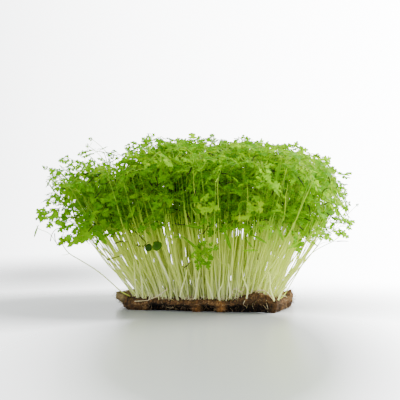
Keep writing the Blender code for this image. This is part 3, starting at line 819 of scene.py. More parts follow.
def addLeaf(plan, drawn, grid, tint, chance, form=None):
    form = form or (fullLeaf if drawn["full"] else smallLeaf)
    ribPoints = [leafPoint(form["rib"] * step / 3, 0, drawn, grid) for step in range(4)]
    plan.line("stalk", ribPoints, form["ribStalk"], (0.86, 1.0), tint)
    for side in (-1, 1):
        for start, u, v in form["branches"]:
            places = ((start, 0), ((start + u) / 2, side * v * 0.6), (u, side * v))
            ends = [leafPoint(*place, drawn, grid) for place in places]
            plan.line("stalk", ends, (0.00017, 0.00012), (0.9, 1.0), tint)
    leaflets = [(u, side * v, side * angle, size)
                for side in (-1, 1) for u, v, angle, size in form["leaflets"]]
    leaflets.append((form["tip"][0], 0.0, 0.0, form["tip"][1]))
    for u, v, angle, size in leaflets:
        place, along, across, up = leafAxes(u, v, drawn, grid)
        angle = math.radians(angle + chance.uniform(-8, 8))
        way = along * math.cos(angle) + across * math.sin(angle)
        lift = math.radians(chance.gauss(0, leafForm["lift"]))
        way = way * math.cos(lift) + up * math.sin(lift)
        up = Matrix.Rotation(math.radians(chance.gauss(0, leafForm["twist"])), 3, way) @ up
        shade = tint + chance.uniform(-leafForm["tintSpread"], leafForm["tintSpread"])
        plan.thing("blade", chance.randrange(3), place, way, up, size * drawn["leafLength"], shade)


def addSeedLeaf(plan, tip, way, size, tint, chance, husk=False):
    up = Vector((0, 0, 1)) - way * way.z
    up = Matrix.Rotation(math.radians(chance.uniform(-35, 35)), 3, way) @ up
    plan.thing("blade", 3 + chance.randrange(2), tip, way, up, size, tint)
    if husk:
        sag = seedling["seedLeafSag"]
        end = tip + way * size + up.normalized() * -sag * size
        slope = (way - up.normalized() * 2 * sag).normalized()
        addHusk(plan, end - slope * seedling["huskSink"], slope, chance)


def addHusk(plan, place, way, chance):
    up = way.orthogonal()
    up = Matrix.Rotation(chance.uniform(0, math.tau), 3, way) @ up
    size = seedling["huskLength"] * chance.uniform(0.85, 1.05)
    plan.thing("husk", 5, place, way, up, size, chance.random())


# More seedlings between the solid ones, so that the stems make a wall and the leaves a canopy

crowd = {
    "perStrip": 30, "seed": 7301, "leanSpread": 5.5, "length": (0.046, 0.112), "taller": 0.85,
    "stalk": (0.005, 0.016), "stalkSpread": 55.0, "leaves": (1, 2, 3, 3), "nodes": (0.60, 1.0),
    "seedLeaves": (0, 1, 1, 2), "leafLength": (0.0120, 0.0185), "fullShare": 0.3,
    "swing": 115.0, "roll": 38.0, "topPitch": (-24.0, 30.0), "lowPitch": (-66.0, 8.0),
    "stemRadius": (0.00034, 0.00050), "taper": 0.52, "wobble": 0.0011, "huskShare": 0.5,
    "margin": 0.0012, "widest": 0.095,
}
# The canopy's upper and lower edge: x, then the height there
canopy = {
    "top": ((-0.118, 0.076), (-0.100, 0.089), (-0.088, 0.100), (-0.083, 0.105), (-0.076, 0.094),
            (-0.064, 0.093), (-0.054, 0.102), (-0.040, 0.1128), (0.030, 0.1115), (0.044, 0.108),
            (0.062, 0.1055), (0.072, 0.099), (0.081, 0.095), (0.087, 0.080), (0.100, 0.064)),
    "bottom": ((-0.118, 0.046), (-0.090, 0.034), (-0.066, 0.046), (-0.045, 0.053), (0.045, 0.053),
               (0.075, 0.043), (0.100, 0.046)),
    "fall": 0.016, "halfDepth": 0.078, "ragged": 0.0045,
    # Where few leaves grow: across the view, height, reach and how many are left out
    "thin": ((-0.092, 0.088, 0.022, 0.55), (0.037, 0.091, 0.010, 0.9), (-0.062, 0.096, 0.012, 0.7),
             (0.083, 0.064, 0.011, 0.7), (-0.036, 0.060, 0.008, 0.5)),
    "slant": 0.213,
}


def canopyEdge(name, place):
    edge = float(np.interp(place.x, *zip(*canopy[name])))
    fall = canopy["fall"] * min(1.0, abs(place.y) / canopy["halfDepth"]) ** 2.5
    return edge - fall


def insideBox(point):
    edge = crowd["margin"]
    return all(low + edge < value < high - edge for low, value, high in zip(cadLow, point, cadHigh))


def insideCanopy(point, lower=0.0):
    return insideBox(point) and canopyEdge("bottom", point) < point.z < canopyEdge("top", point) - lower


def leftOut(place, chance):
    across = place.x + canopy["slant"] * place.y
    share = max(most * math.exp(-((across - x) ** 2 + (place.z - z) ** 2) / reach**2)
                for x, z, reach, most in canopy["thin"])
    return chance.random() < share


def tintWithPaintedLight(place, chance):
    # Painted light on each leaf's own random tone: brighter and yellower towards the top and the sunny right
    # end, where the light falls
    bright = 0.44 + 2.3 * place.x + 2.6 * (place.z - 0.080)
    return min(1.0, max(0.0, bright + chance.gauss(0, 0.24)))


def addCrowdLeaf(plan, node, way, chance):
    # One leaf on its own stalk, tried again with another draw if it would reach out of the canopy
    lower = abs(chance.gauss(0, canopy["ragged"]))
    for attempt in range(16):
        shrink = 1 - 0.035 * attempt
        turn = Euler([math.radians(chance.gauss(0, crowd["stalkSpread"] / 2)) for _ in range(3)])
        stalkWay = (turn.to_matrix() @ way).normalized()
        length = chance.uniform(*crowd["stalk"]) * shrink
        tip = node + stalkWay * length
        out = math.atan2(tip.y * 1.2, tip.x)
        high = min(1.0, max(0.0, (tip.z - 0.060) / 0.045))
        down, up = (between(a, b, high) for a, b in zip(crowd["lowPitch"], crowd["topPitch"]))
        drawn = {
            "heading": out + math.radians(chance.uniform(-crowd["swing"], crowd["swing"])),
            "pitch": math.radians(chance.uniform(down, up)),
            "roll": math.radians(chance.uniform(-crowd["roll"], crowd["roll"])),
            "droop": chance.uniform(*seedling["droop"]), "cup": chance.uniform(*seedling["cup"]),
            "leafLength": chance.uniform(*crowd["leafLength"]) * shrink,
            "full": chance.random() < crowd["fullShare"],
        }
        grid = leafFrame(tip, drawn)
        ends = [leafPoint(u, v, drawn, grid)
                for u, v in ((1, 0), (0.4, 0.55), (0.4, -0.55), (0.1, 0.4), (0.1, -0.4))]
        if all(insideCanopy(end, lower) for end in ends) and insideBox(tip):
            if leftOut(grid.translation, chance):
                return
            tint = tintWithPaintedLight(tip, chance)
            bow = Vector((0, 0, -0.12 * length))
            plan.line("stalk", curved([node, node.lerp(tip, 0.5) + bow, tip, grid.translation], 2),
                      (0.00030, 0.00020), (0.62, 0.9), tint)
            addLeaf(plan, drawn, grid, tint, chance)
            return


def crowdStem(place, chance):
    # A root in this strip's part of the mat, and a stem from it that ends under the canopy's upper edge
    x = place[0] + chance.uniform(-0.5, 0.5) * strip["pitchX"]
    y = place[1] + chance.uniform(-0.5, 0.5) * strip["pitchY"]
    across, along = x / (mat["length"] / 2), y / (mat["depth"] / 2)
    pull = max(1.0, math.hypot(across**2, along**2) ** 0.5 / 0.93)
    x, y, across, along = x / pull, y / pull, across / pull, along / pull
    leanX, leanY = leanAt(across, along)
    drawn = {
        "lean": (math.radians(leanX + chance.gauss(0, crowd["leanSpread"])),
                 math.radians(leanY + chance.gauss(0, crowd["leanSpread"]))),
        "length": between(*crowd["length"], chance.random() ** crowd["taller"]),
    }
    root = Vector((x, y, matTop(x, y) - 0.0012))
    line = stemLine(root, drawn)
    while not insideBox(line[-1]) or line[-1].z > canopyEdge("top", line[-1]) - 0.004:
        drawn["length"] *= chance.uniform(0.80, 0.97)
        line = stemLine(root, drawn)
    return line


def addCrowd(plan, number, place):
    chance = random.Random(crowd["seed"] + number)
    for member in range(crowd["perStrip"]):
        line = crowdStem(place, chance)
        tip = line[-1]
        radius = chance.uniform(*crowd["stemRadius"])
        plan.line("stem", curved(line, 5, crowd["wobble"], member), (radius, radius * crowd["taper"]),
                  tint=chance.random())
        way = (line[-1] - line[-2]).normalized()
        for leaf in range(chance.choice(crowd["leaves"])):
            node = tip if leaf < 2 else line[-2].lerp(tip, chance.uniform(*crowd["nodes"]) * 2 - 1)
            addCrowdLeaf(plan, node, way, chance)
        for _ in range(chance.choice(crowd["seedLeaves"])):
            angle = chance.uniform(0, math.tau)
            spread = heading(angle, math.radians(chance.uniform(-60, 25)))
            size = chance.uniform(0.010, 0.016)
            end = tip + spread * size + Vector((0, 0, -0.3 * size))
            if insideCanopy(end) and abs(end.x) < crowd["widest"]:
                husk = chance.random() < crowd["huskShare"] and insideBox(tip + spread * size * 1.9)
                addSeedLeaf(plan, tip, spread, size, tintWithPaintedLight(tip, chance) * 0.8, chance, husk)


def addPlanted(plan, drawn, number):
    # A seedling of the solids, drawn finely
    chance = random.Random(round(drawn["length"] * 1e7) + number)
    line = drawn["line"]
    tip = line[-1]
    radius = seedling["stemRadius"]
    plan.line("stem", curved(line, 5, 0.0006, number), (radius * 0.86, radius * crowd["taper"]),
              tint=chance.random())
    if drawn["young"]:
        for side in (-1, 1):
            size = drawn["seedLeafLength"]
            up = drawn["grid"].col[2].xyz
            way = drawn["grid"].col[0].xyz * side
            plan.thing("blade", 3, tip, way, up, size, 0.45)
            if drawn["husk"] and side == 1:
                sag = seedling["seedLeafSag"]
                slope = (way - up * 2 * sag).normalized()
                end = seedLeafPoint(1.0, drawn, drawn["grid"])
                addHusk(plan, end - slope * seedling["huskSink"], slope, chance)
        return
    tint = tintWithPaintedLight(tip, chance)
    plan.line("stalk", [tip, drawn["grid"].translation], (0.00030, 0.00026), (0.72, 0.86), tint)
    addLeaf(plan, drawn, drawn["grid"], tint, chance)


# Pale roots that curl over the mat

rootForm = {"perStrip": 9, "seed": 411, "length": (0.004, 0.011), "thickness": (0.00030, 0.00016)}


def addRoots(plan, number, place):
    chance = random.Random(rootForm["seed"] + number)
    for _ in range(rootForm["perStrip"]):
        x = place[0] + chance.uniform(-0.5, 0.5) * strip["pitchX"]
        y = place[1] + chance.uniform(-0.5, 0.5) * strip["pitchY"]
        angle = chance.uniform(0, math.tau)
        bend = chance.uniform(-1.6, 1.6)
        points = []
        for step in range(6):
            limit = math.hypot(x / (mat["length"] / 2), y / (mat["depth"] / 2))
            if limit > 1.12:
                break
            lift = 0.0012 * math.sin(math.pi * step / 5) * chance.uniform(0.2, 1.4)
            points.append(Vector((x, y, matTop(x, y) + 0.0002 + lift)))
            reach = chance.uniform(*rootForm["length"]) / 5
            x, y = x + math.cos(angle) * reach, y + math.sin(angle) * reach
            angle += bend * 0.4 + chance.gauss(0, 0.25)
        if len(points) > 2:
            plan.line("root", curved(points, 2), rootForm["thickness"], (0.0, 0.0), chance.random())


# Single things that stand out in front of the others, in millimetres

strays = {
    "millimetre": 0.001,
    # Thickness, then x and height on the mat's front
    "frontRoots": (
        (0.32, ((-41.4, 5.8), (-32.9, 6.5), (-24.3, 7.1), (-18.4, 6.9))),
        (0.42, ((-20.6, 14.9), (-20.8, 13.6), (-22.3, 12.3), (-26.9, 9.3), (-32.9, 6.7))),
        (0.46, ((35.1, 12.5), (36.7, 13.9), (38.8, 14.5), (41.3, 14.0), (43.7, 12.2), (45.9, 9.5),
         (47.4, 7.5))),
        (0.3, ((21.6, 10.8), (21.3, 13.5), (22.8, 14.9), (25.0, 14.6), (26.5, 13.0), (28.4, 11.6))),
        (0.28, ((24.1, 11.1), (25.3, 13.0), (28.1, 13.6), (28.7, 15.5), (26.8, 15.9))),
        (0.26, ((21.0, 11.0), (18.5, 9.2), (16.9, 7.3), (15.7, 4.8))),
        (0.2, ((16.9, 7.3), (13.5, 8.9), (10.3, 9.2))),
        (0.28, ((42.6, 8.3), (42.4, 5.8), (43.1, 3.4), (43.0, 0.9))), (0.22, ((40.1, 4.9), (42.2, 2.7))),
        (0.2, ((-21.2, 2.6), (-18.7, 1.8), (-17.1, 2.1), (-15.5, 0.9))),
        (0.18, ((29.6, 8.1), (28.7, 5.9), (29.6, 3.8))), (0.18, ((34.2, 6.6), (33.3, 4.2), (34.2, 2.3))),
    ),
    "whiteStems": (
        ((2.6, -41, 31), (1.7, -40, 25.5), (0.3, -40, 19.3), (-0.5, -39, 13.7), (-2.1, -37, 8.6)),
        ((20.1, -41, 31), (20.1, -40, 28.2), (19.8, -40, 21.5), (20.6, -39, 14.7), (20.2, -37, 9.4)),
        ((55.4, -37, 17.1), (51.9, -36, 13.1), (49.9, -34, 8.7)),
        ((5.7, -41, 24), (6.2, -39, 19.9), (7.8, -38, 15.0), (9.2, -36, 8.6)),
        ((-6.0, -41, 27), (-6.9, -40, 22.8), (-9.4, -38, 16.6), (-11.7, -36, 9.6)),
        ((28.4, -41, 27), (29.5, -40, 21.0), (31.4, -38, 14.9), (30.5, -36, 9.2)),
        ((45.0, -39, 26), (45.3, -38, 21.7), (45.6, -37, 15.0), (47.5, -34, 8.3)),
        ((17.0, -40, 24), (16.0, -39, 18.2), (13.5, -38, 13.2), (13.6, -36, 7.9)),
        ((-37.2, -39, 30), (-36.7, -38, 24.7), (-36.0, -37, 16.5), (-36.7, -33, 8.0)),
        ((-40.8, -39, 31), (-40.6, -38, 25.9), (-40.7, -36, 17.1), (-40.6, -32, 8.0)),
    ),
    # Thickness, then the places
    "stalks": (
        (0.42, ((-47.0, -26, 8), (-52.2, -30, 11.7), (-60.6, -31, 19.2), (-67.6, -33, 25.1),
         (-76.1, -36, 30.9), (-84.0, -38, 35.9), (-87.3, -40, 40.9), (-89.0, -42, 46))),
        (0.22, ((-90.3, -42, 41.5), (-95.2, -42, 48.0), (-98.8, -43, 50.2), (-102.1, -45, 51.8),
         (-103.2, -45, 54.0))),
        (0.2, ((-84.0, -44, 58.0), (-88.9, -45, 58.7), (-94.2, -45, 59.0), (-98.9, -45, 59.1))),
        (0.36, ((49.0, -24, 8), (52.5, -27, 10.9), (57.5, -30, 19.0), (62.3, -32, 26.9),
         (67.5, -34, 34.8), (72.8, -36, 39.4), (78.6, -38, 42.7), (83.7, -38, 45.3), (88.0, -38, 48.7))),
        (0.18, ((71.7, -37, 39.0), (77.1, -40, 44.1), (86.0, -40, 45.2))),
        (0.2, ((-84.0, -38, 35.9), (-85.4, -40, 35.1), (-88.2, -40, 34.9))),
        (0.3, ((13.7, -50, 36.4), (16.5, -50, 33.1), (19.0, -49, 30.1), (22.3, -47, 27.7))),
        (0.26, ((-0.2, -50, 35.6), (-2.1, -49, 32.2))),
        (0.2, ((-74.0, -30, 84), (-76.0, -30, 95), (-74.5, -30, 102), (-71.0, -30, 107.5))),
    ),
    "greenStalks": (
        ((3.3, -64, 96), (3.5, -66, 81.7), (3.4, -62, 66.0)),
        ((18.3, -66, 86.0), (18.2, -67, 75.8), (18.0, -62, 64)),
        ((35.7, -63, 82), (35.8, -65, 70.6), (35.7, -60, 58)),
        ((58.7, -60, 80), (58.1, -62, 68.3), (56.1, -58, 58)),
    ),
    # Distance, then x and height
    "husks": (
        (-47, (-55.5, 32.8), (-50.6, 34.2), (-45.1, 35.9)),
        (-48, (-50.8, 42.7), (-46.8, 44.2), (-42.3, 44.0)),
        (-47, (-37.1, 42.2), (-32.6, 41.3), (-29.1, 44.2)),
        (-47, (-6.5, 28.6), (-4.4, 30.0), (-2.6, 32.2)), (-56, (6.9, 49.4), (8.6, 51.4), (10.9, 54.7)),
        (-64, (-8.1, 55.9), (-5.0, 55.3), (-1.7, 55.3)),
        (-66, (-61.5, 80.6), (-59.6, 82.2), (-58.3, 84.2)),
        (-66, (-57.5, 71.2), (-55.6, 73.0), (-53.5, 75.7)),
        (-60, (-63.7, 50.7), (-61.4, 53.4), (-58.9, 55.5)),
        (-68, (-19.1, 83.9), (-18.2, 81.9), (-17.7, 79.5)),
        (-42, (-95.2, 43.7), (-94.2, 48.0), (-91.1, 51.5), (-85.4, 52.6)),
        (-42, (-92.4, 48.8), (-91.9, 44.4), (-90.3, 41.5)),
        (-50, (-76.9, 58.2), (-74.5, 60.5), (-68.9, 60.5)),
        (-46, (80.3, 62.4), (84.6, 59.4), (88.5, 60.1)), (-46, (84.7, 58.8), (86.2, 57.6), (87.8, 56.9)),
        (-50, (77.8, 74.3), (79.9, 76.5), (82.4, 77.1)), (-50, (79.2, 67.2), (81.7, 68.6), (83.8, 67.2)),
        (-62, (38.0, 92.9), (39.1, 95.3), (41.8, 96.5)), (-58, (71.0, 49.8), (71.1, 51.6), (71.4, 53.3)),
        (-50, (39.5, 34.2), (39.6, 36.2), (40.1, 37.9)), (-40, (86.0, 45.2), (89.3, 45.4), (92.9, 45.3)),
        (-66, (23.1, 79.7), (25.0, 80.4), (27.0, 80.3)), (-66, (20.7, 85.5), (22.6, 85.6), (24.6, 84.9)),
        (-64, (-1.4, 62.9), (0.4, 59.9), (1.0, 56.3)), (-60, (65.6, 54.5), (67.0, 53.2), (68.0, 52.8)),
        (-66, (44.7, 58.0), (46.5, 58.6), (48.2, 58.3)),
        (-60, (-55.8, 79.8), (-52.0, 80.1), (-47.9, 84.0)),
    ),
    # Leaves that face the viewer: middle, length and tint
    "facing": (
        ((6.0, -50, 40.2), 8.6, 0.85), ((2.7, -52, 36.1), 5.9, 0.8), ((9.7, -50, 36.0), 5.3, 0.9),
        ((3.3, -49, 30.4), 5.9, 0.6), ((-67.8, -58, 54.0), 5.9, 0.6), ((-61.3, -58, 51.6), 5.9, 0.5),
        ((-73.7, -56, 50.2), 5.3, 0.7), ((-79.7, -30, 100.4), 4.6, 0.55), ((-75.4, -30, 105.2), 3.0, 0.5),
        ((-72.7, -30, 109.4), 2.6, 0.45), ((-87.0, -40, 95.9), 6.6, 0.6), ((-78.9, -45, 93.0), 6.6, 0.6),
        ((-69.3, -50, 91.2), 6.6, 0.6), ((-66.7, -45, 93.6), 4.6, 0.55), ((-93.8, -40, 87.6), 7.9, 0.55),
        ((-101.3, -36, 91.1), 3.3, 0.4), ((-92.1, -45, 78.1), 4.6, 0.6), ((-84.9, -48, 79.9), 4.6, 0.5),
        ((-78.5, -50, 79.7), 5.3, 0.4), ((-81.8, -50, 66.9), 5.3, 0.45), ((-87.1, -48, 58.0), 5.9, 0.6),
        ((-82.1, -50, 60.6), 5.3, 0.6), ((89.2, 30, 67.6), 4.6, 0.8), ((94.2, 52, 66.7), 2.0, 0.3),
        ((73.6, 20, 95.6), 9.9, 0.92), ((76.9, 24, 90.7), 8.6, 0.88), ((59.1, 0, 102.4), 9.2, 0.95),
        ((51.7, -20, 102.1), 8.6, 0.75), ((41.1, -30, 103.2), 9.2, 0.7), ((25.6, -10, 109.0), 5.9, 0.5),
        ((3.6, -10, 110.9), 5.3, 0.45), ((-2.0, -10, 108.1), 4.6, 0.45), ((82.4, 26, 78.0), 7.3, 0.88),
        ((86.2, 30, 73.4), 4.6, 0.8), ((42.4, -70, 67.1), 9.9, 1.0), ((13.6, -72, 67.1), 11.2, 1.0),
        ((45.9, -64, 54.8), 6.6, 0.95), ((70.4, -45, 76.0), 9.9, 0.75), ((-35.4, -20, 113.4), 5.9, 0.6),
        ((-35.3, -30, 107.6), 6.6, 0.6), ((-44.4, -35, 102.3), 5.9, 0.55), ((-46.5, -50, 92.3), 6.6, 0.4),
        ((-57.2, -45, 93.2), 5.9, 0.5), ((-55.5, -40, 97.8), 4.0, 0.35), ((-12.4, -30, 106.0), 6.6, 0.7),
    ),
    # Shape of the blade, tint, and where it starts and ends
    "blades": (
        (4, 0.35, (20.6, -58, 52.7), (24.3, -58, 39.5)), (3, 0.55, (50.4, -58, 55.0), (46.4, -58, 45.7)),
        (3, 0.2, (32.1, -52, 47.2), (37.0, -52, 41.0)), (3, 0.7, (39.5, -50, 39.8), (29.9, -50, 39.9)),
        (4, 0.55, (36.4, -54, 49.4), (45.7, -54, 44.7)), (3, 0.75, (65.6, -50, 45.6), (57.0, -50, 40.9)),
        (4, 0.3, (52.2, -58, 55.0), (56.0, -58, 45.3)), (3, 0.45, (70.3, -48, 46.2), (75.7, -48, 42.4)),
        (3, 0.12, (-3.5, -58, 54.7), (8.3, -58, 53.5)), (3, 0.1, (-5.4, -52, 47.5), (-12.9, -52, 47.7)),
        (4, 0.14, (-5.4, -52, 47.2), (3.6, -52, 40.0)), (6, 0.66, (-62.5, -58, 51.3), (-79.5, -58, 41.0)),
        (6, 0.24, (-61.0, -56, 53.5), (-53.2, -56, 42.5)),
        (3, 0.3, (-102.0, -45, 54.1), (-106.0, -45, 45.8)),
        (0, 0.5, (-99.5, -45, 60.2), (-103.5, -45, 64.5)),
        (2, 0.55, (-99.5, -45, 60.2), (-98.6, -45, 65.8)),
        (2, 0.45, (-99.5, -45, 60.0), (-101.4, -45, 55.4)),
        (0, 0.5, (-99.5, -45, 60.2), (-95.6, -45, 57.6)),
        (1, 0.6, (-86.0, -58, 58.0), (-86.0, -58, 63.5)),
        (0, 0.5, (-86.0, -58, 58.0), (-91.0, -58, 59.5)),
        (2, 0.55, (-85.5, -58, 57.5), (-81.5, -58, 54.0)),
        (0, 0.62, (88.0, -38, 48.7), (90.8, -38, 52.0)), (2, 0.66, (88.0, -38, 48.7), (87.0, -38, 53.2)),
    ),
}
# The rib of a facing leaf points outwards, and up or down with its height, with some turn and nod. Its
# stalk starts inside the canopy: shares of the place's distance from the middle, and a step down
facingLeaf = {
    "seed": 90, "size": 1.15, "tint": 0.88,
    "rise": 0.4, "level": 0.060, "lowest": -0.01, "turn": 35, "nod": 0.35,
    "faceAside": (-0.2, 0.5), "faceUp": (0.0, 0.6), "droop": 0.2, "cup": 0.25,
    "baseBack": 0.45, "stalkIn": (0.16, 0.12, 0.10), "stalkDown": 0.006, "stalkBend": (0.4, 0.35),
    "stalk": (0.00026, 0.00018),
}


def straying(points):
    return [Vector(point) * strays["millimetre"] for point in points]


def onFront(tree, x, height):
    # A place just in front of the mat, or over its front edge where that is higher than the mat
    hit = tree.ray_cast(Vector((x, -0.2, height)), Vector((0, 1, 0)))[0]
    y = hit.y if hit and hit.y < -0.022 else -0.0335
    return Vector((x, y - 0.0003, height))


def addFacingLeaf(plan, middle, size, tint, chance):
    # A whole leaf turned to the viewer, on a stalk that comes out of the canopy
    form = facingLeaf
    up = max(form["rise"] * (middle.z - form["level"]), form["lowest"])
    rib = Vector((middle.x, 0, up)).normalized()
    rib = Matrix.Rotation(math.radians(chance.uniform(-form["turn"], form["turn"])), 3, "Y") @ rib
    rib = (rib + Vector((0, chance.uniform(-form["nod"], form["nod"]), 0))).normalized()
    face = Vector((chance.uniform(*form["faceAside"]), -1, chance.uniform(*form["faceUp"]))).normalized()
    side = face.cross(rib).normalized()
    base = middle - rib * size * form["baseBack"]
    grid = frameOf(rib, side, rib.cross(side), base)
    drawn = {"leafLength": size, "droop": form["droop"], "cup": form["cup"]}
    out = abs(middle.x)
    inX, inY, inZ = form["stalkIn"]
    inward = Vector((-inX * middle.x, inY * out, -inZ * out - form["stalkDown"]))
    back, bend = form["stalkBend"]
    low = base - rib * size * back + inward * bend
    plan.line("stalk", curved([base + inward, low, base], 4), form["stalk"], (0.60, 0.85), tint)
    addLeaf(plan, drawn, grid, tint, chance, broadLeaf)


def planStrays(felt):
    plan = Plan("stray_growth")
    tree = BVHTree.FromPolygons([corner.co for corner in felt.vertices],
                                [face.vertices for face in felt.polygons])
    unit = strays["millimetre"]
    for thickness, places in strays["frontRoots"]:
        points = [onFront(tree, x * unit, height * unit) for x, height in places]
        plan.line("root", curved(points, 4), (thickness * unit, thickness * unit * 0.7), (0.0, 0.0))
    for places in strays["whiteStems"]:
        plan.line("stem", curved(straying(places), 4), (0.00040, 0.00052), (0.30, 0.02))
    for thickness, places in strays["stalks"]:
        thick = (thickness * unit, thickness * unit * 0.7)
        plan.line("stalk", curved(straying(places), 4), thick, (0.36, 0.60))
    for places in strays["greenStalks"]:
        plan.line("stalk", curved(straying(places), 4, 0.0012, 3), (0.00022, 0.00030), (0.62, 0.55))
    for y, *places in strays["husks"]:
        points = straying([(x, y, z) for x, z in places])
        plan.line("twig", curved(points, 3), (0.00038, 0.00020), (0.0, 0.0))
    for number, (place, size, tint) in enumerate(strays["facing"]):
        chance = random.Random(facingLeaf["seed"] + number)
        addFacingLeaf(plan, Vector(place) * unit, size * unit * facingLeaf["size"],
                      tint * facingLeaf["tint"], chance)
    for kind, tint, *ends in strays["blades"]:
        start, end = straying(ends)
        plan.thing("blade", kind, start, end - start, Vector((0, -1, 0.25)), (end - start).length, tint)
    return plan


# Small shapes that Geometry Nodes copy: three leaflets, two seed leaves, a husk and a pointed leaf

leafletOutlines = (
    ((0.00, 0.022), (0.17, 0.035), (0.12, 0.28), (0.22, 0.43), (0.34, 0.44), (0.40, 0.33), (0.44, 0.14),
     (0.52, 0.34), (0.64, 0.40), (0.74, 0.30), (0.74, 0.12), (0.86, 0.17), (0.95, 0.12), (1.00, 0.0)),
    ((0.00, 0.022), (0.14, 0.035), (0.19, 0.36), (0.31, 0.49), (0.44, 0.40), (0.48, 0.13),
     (0.60, 0.31), (0.75, 0.34), (0.84, 0.22), (0.80, 0.10), (0.93, 0.10), (1.00, 0.0)),
    ((0.00, 0.022), (0.19, 0.030), (0.10, 0.22), (0.20, 0.40), (0.36, 0.42), (0.42, 0.30), (0.45, 0.12),
     (0.60, 0.32), (0.76, 0.27), (0.78, 0.11), (0.92, 0.12), (1.00, 0.0)),
)
seedLeafOutline = ((0.0, 0.022), (0.16, 0.040), (0.38, 0.066), (0.62, 0.072), (0.84, 0.048), (1.0, 0.0))
pointedOutline = (
    (0.0, 0.03), (0.05, 0.18), (0.13, 0.27), (0.19, 0.15), (0.28, 0.27), (0.35, 0.13), (0.44, 0.21),
    (0.52, 0.10), (0.62, 0.15), (0.72, 0.06), (0.84, 0.08), (1.0, 0.0),
)


def bladeShape(name, half, sag, cup, curl):
    # One thin blade: its rib, and an outline on each side of it
    shape = bmesh.new()
    ribs = [shape.verts.new((u, 0.0, 0.0)) for u, _ in half]
    for side in (-1, 1):
        rim = [shape.verts.new((u, side * v, 0.0)) if v else rib for (u, v), rib in zip(half, ribs)]
        for number in range(len(half) - 1):
            corners = [ribs[number], ribs[number + 1], rim[number + 1], rim[number]]
            corners = list(dict.fromkeys(corners))
            shape.faces.new(corners if side > 0 else corners[::-1])
    mesh = meshFrom(shape, name)
    flat = [corner.co.copy() for corner in mesh.vertices]
    for key, axis in (("alongBlade", 0), ("acrossBlade", 1)):
        store(mesh, key, [place[axis] for place in flat])
    for corner, (u, v, _) in zip(mesh.vertices, flat):
        ripple = curl * math.sin(u * 9) * abs(v)
        corner.co.z = -sag * u * u - cup * v * v + ripple
    for face in mesh.polygons:
        face.use_smooth = True
    return bpy.data.objects.new(name, mesh)


def huskShape(name):
    shape = bmesh.new()
    bmesh.ops.create_cone(shape, cap_ends=True, segments=5, radius1=0.034, radius2=0.034, depth=1.0,
                          matrix=Matrix.Translation((0.5, 0, 0)) @ Matrix.Rotation(math.pi / 2, 4, "Y"))
    lengthwise = [edge for edge in shape.edges if abs(edge.verts[0].co.x - edge.verts[1].co.x) > 0.5]
    bmesh.ops.subdivide_edges(shape, edges=lengthwise, cuts=4, use_grid_fill=True)
    for corner in shape.verts:
        u = corner.co.x
        width = 0.35 + 1.1 * math.sin(math.pi * min(1.0, u * 0.75 + 0.12)) ** 0.8 - 0.55 * u
        corner.co.y *= width
        corner.co.z = corner.co.z * width - 0.24 * u * u
    mesh = meshFrom(shape, name)
    for face in mesh.polygons:
        face.use_smooth = len(face.vertices) == 4
    return bpy.data.objects.new(name, mesh)


def makeShapes():
    shapes = bpy.data.collections.new("smallShapes")
    things = [bladeShape(f"shape{n}_leaflet", half, 0.10 + 0.05 * n, 0.5, 0.16)
              for n, half in enumerate(leafletOutlines)]
    things.append(bladeShape("shape3_seedLeaf", seedLeafOutline, seedling["seedLeafSag"], 1.0, 0.0))
    things.append(bladeShape("shape4_seedLeafLong", seedLeafOutline, 0.42, 1.0, 0.2))
    things.append(huskShape("shape5_husk"))
    things.append(bladeShape("shape6_pointed", pointedOutline, 0.12, 0.5, 0.1))
    for thing in things:
        shapes.objects.link(thing)
    return shapes


# The tree of Geometry Nodes that grows one bunch from its plan

class Growth(Sheet):
    def __init__(self, name, inputs):
        super().__init__(bpy.data.node_groups.new(name, "GeometryNodeTree"))
        face = self.tree.interface
        face.new_socket("Geometry", in_out="INPUT", socket_type="NodeSocketGeometry")
        self.ids = {}
        for label, kind in inputs.items():
            socket = face.new_socket(label, in_out="INPUT", socket_type="NodeSocket" + kind)
            self.ids[label] = socket.identifier
        face.new_socket("Geometry", in_out="OUTPUT", socket_type="NodeSocketGeometry")
        self.start = self.tree.nodes.new("NodeGroupInput")

    def given(self, label):
        return Wire(self, self.start.outputs[label])

    def named(self, name, kind="FLOAT"):
        return self.node("GeometryNodeInputNamedAttribute", {"data_type": kind}, {"Name": name})

    def only(self, geometry, role):
        equal = self.node("FunctionNodeCompare", {"data_type": "INT", "operation": "EQUAL"},
                          {2: self.named("role", "INT"), 3: Plan.roles[role]})
        return self.node("GeometryNodeSeparateGeometry", {"domain": "POINT"}, {0: geometry, 1: equal})

    def tubes(self, lines, sides, material):
        curve = self.node("GeometryNodeMeshToCurve", {}, {0: lines})
        ring = self.node("GeometryNodeCurvePrimitiveCircle", {}, {"Resolution": sides, "Radius": 1.0})
        tube = self.node("GeometryNodeCurveToMesh", {}, {
            "Curve": curve, "Profile Curve": ring, "Scale": self.named("thickness"), "Fill Caps": True})
        smooth = self.node("GeometryNodeSetShadeSmooth", {}, {0: tube, 2: True})
        return self.painted(smooth, material)

    def painted(self, geometry, material):
        real = self.node("GeometryNodeRealizeInstances", {}, {0: geometry})
        return self.node("GeometryNodeSetMaterial", {}, {0: real, "Material": material})

    def scattered(self, points, shapes, material):
        turn = self.node("FunctionNodeEulerToRotation", {}, {0: self.named("turn", "FLOAT_VECTOR")})
        many = self.node("GeometryNodeCollectionInfo", {}, {0: shapes, 1: True, 2: True})
        copies = self.node("GeometryNodeInstanceOnPoints", {}, {
            "Points": points, "Instance": many, "Pick Instance": True,
            "Instance Index": self.named("kind", "INT"), "Rotation": turn, "Scale": self.named("size")})
        return self.painted(copies, material)

    def end(self, *branches):
        whole = self.node("GeometryNodeJoinGeometry", {}, {0: list(branches)})
        self.node("NodeGroupOutput", {}, {0: whole})
        return self


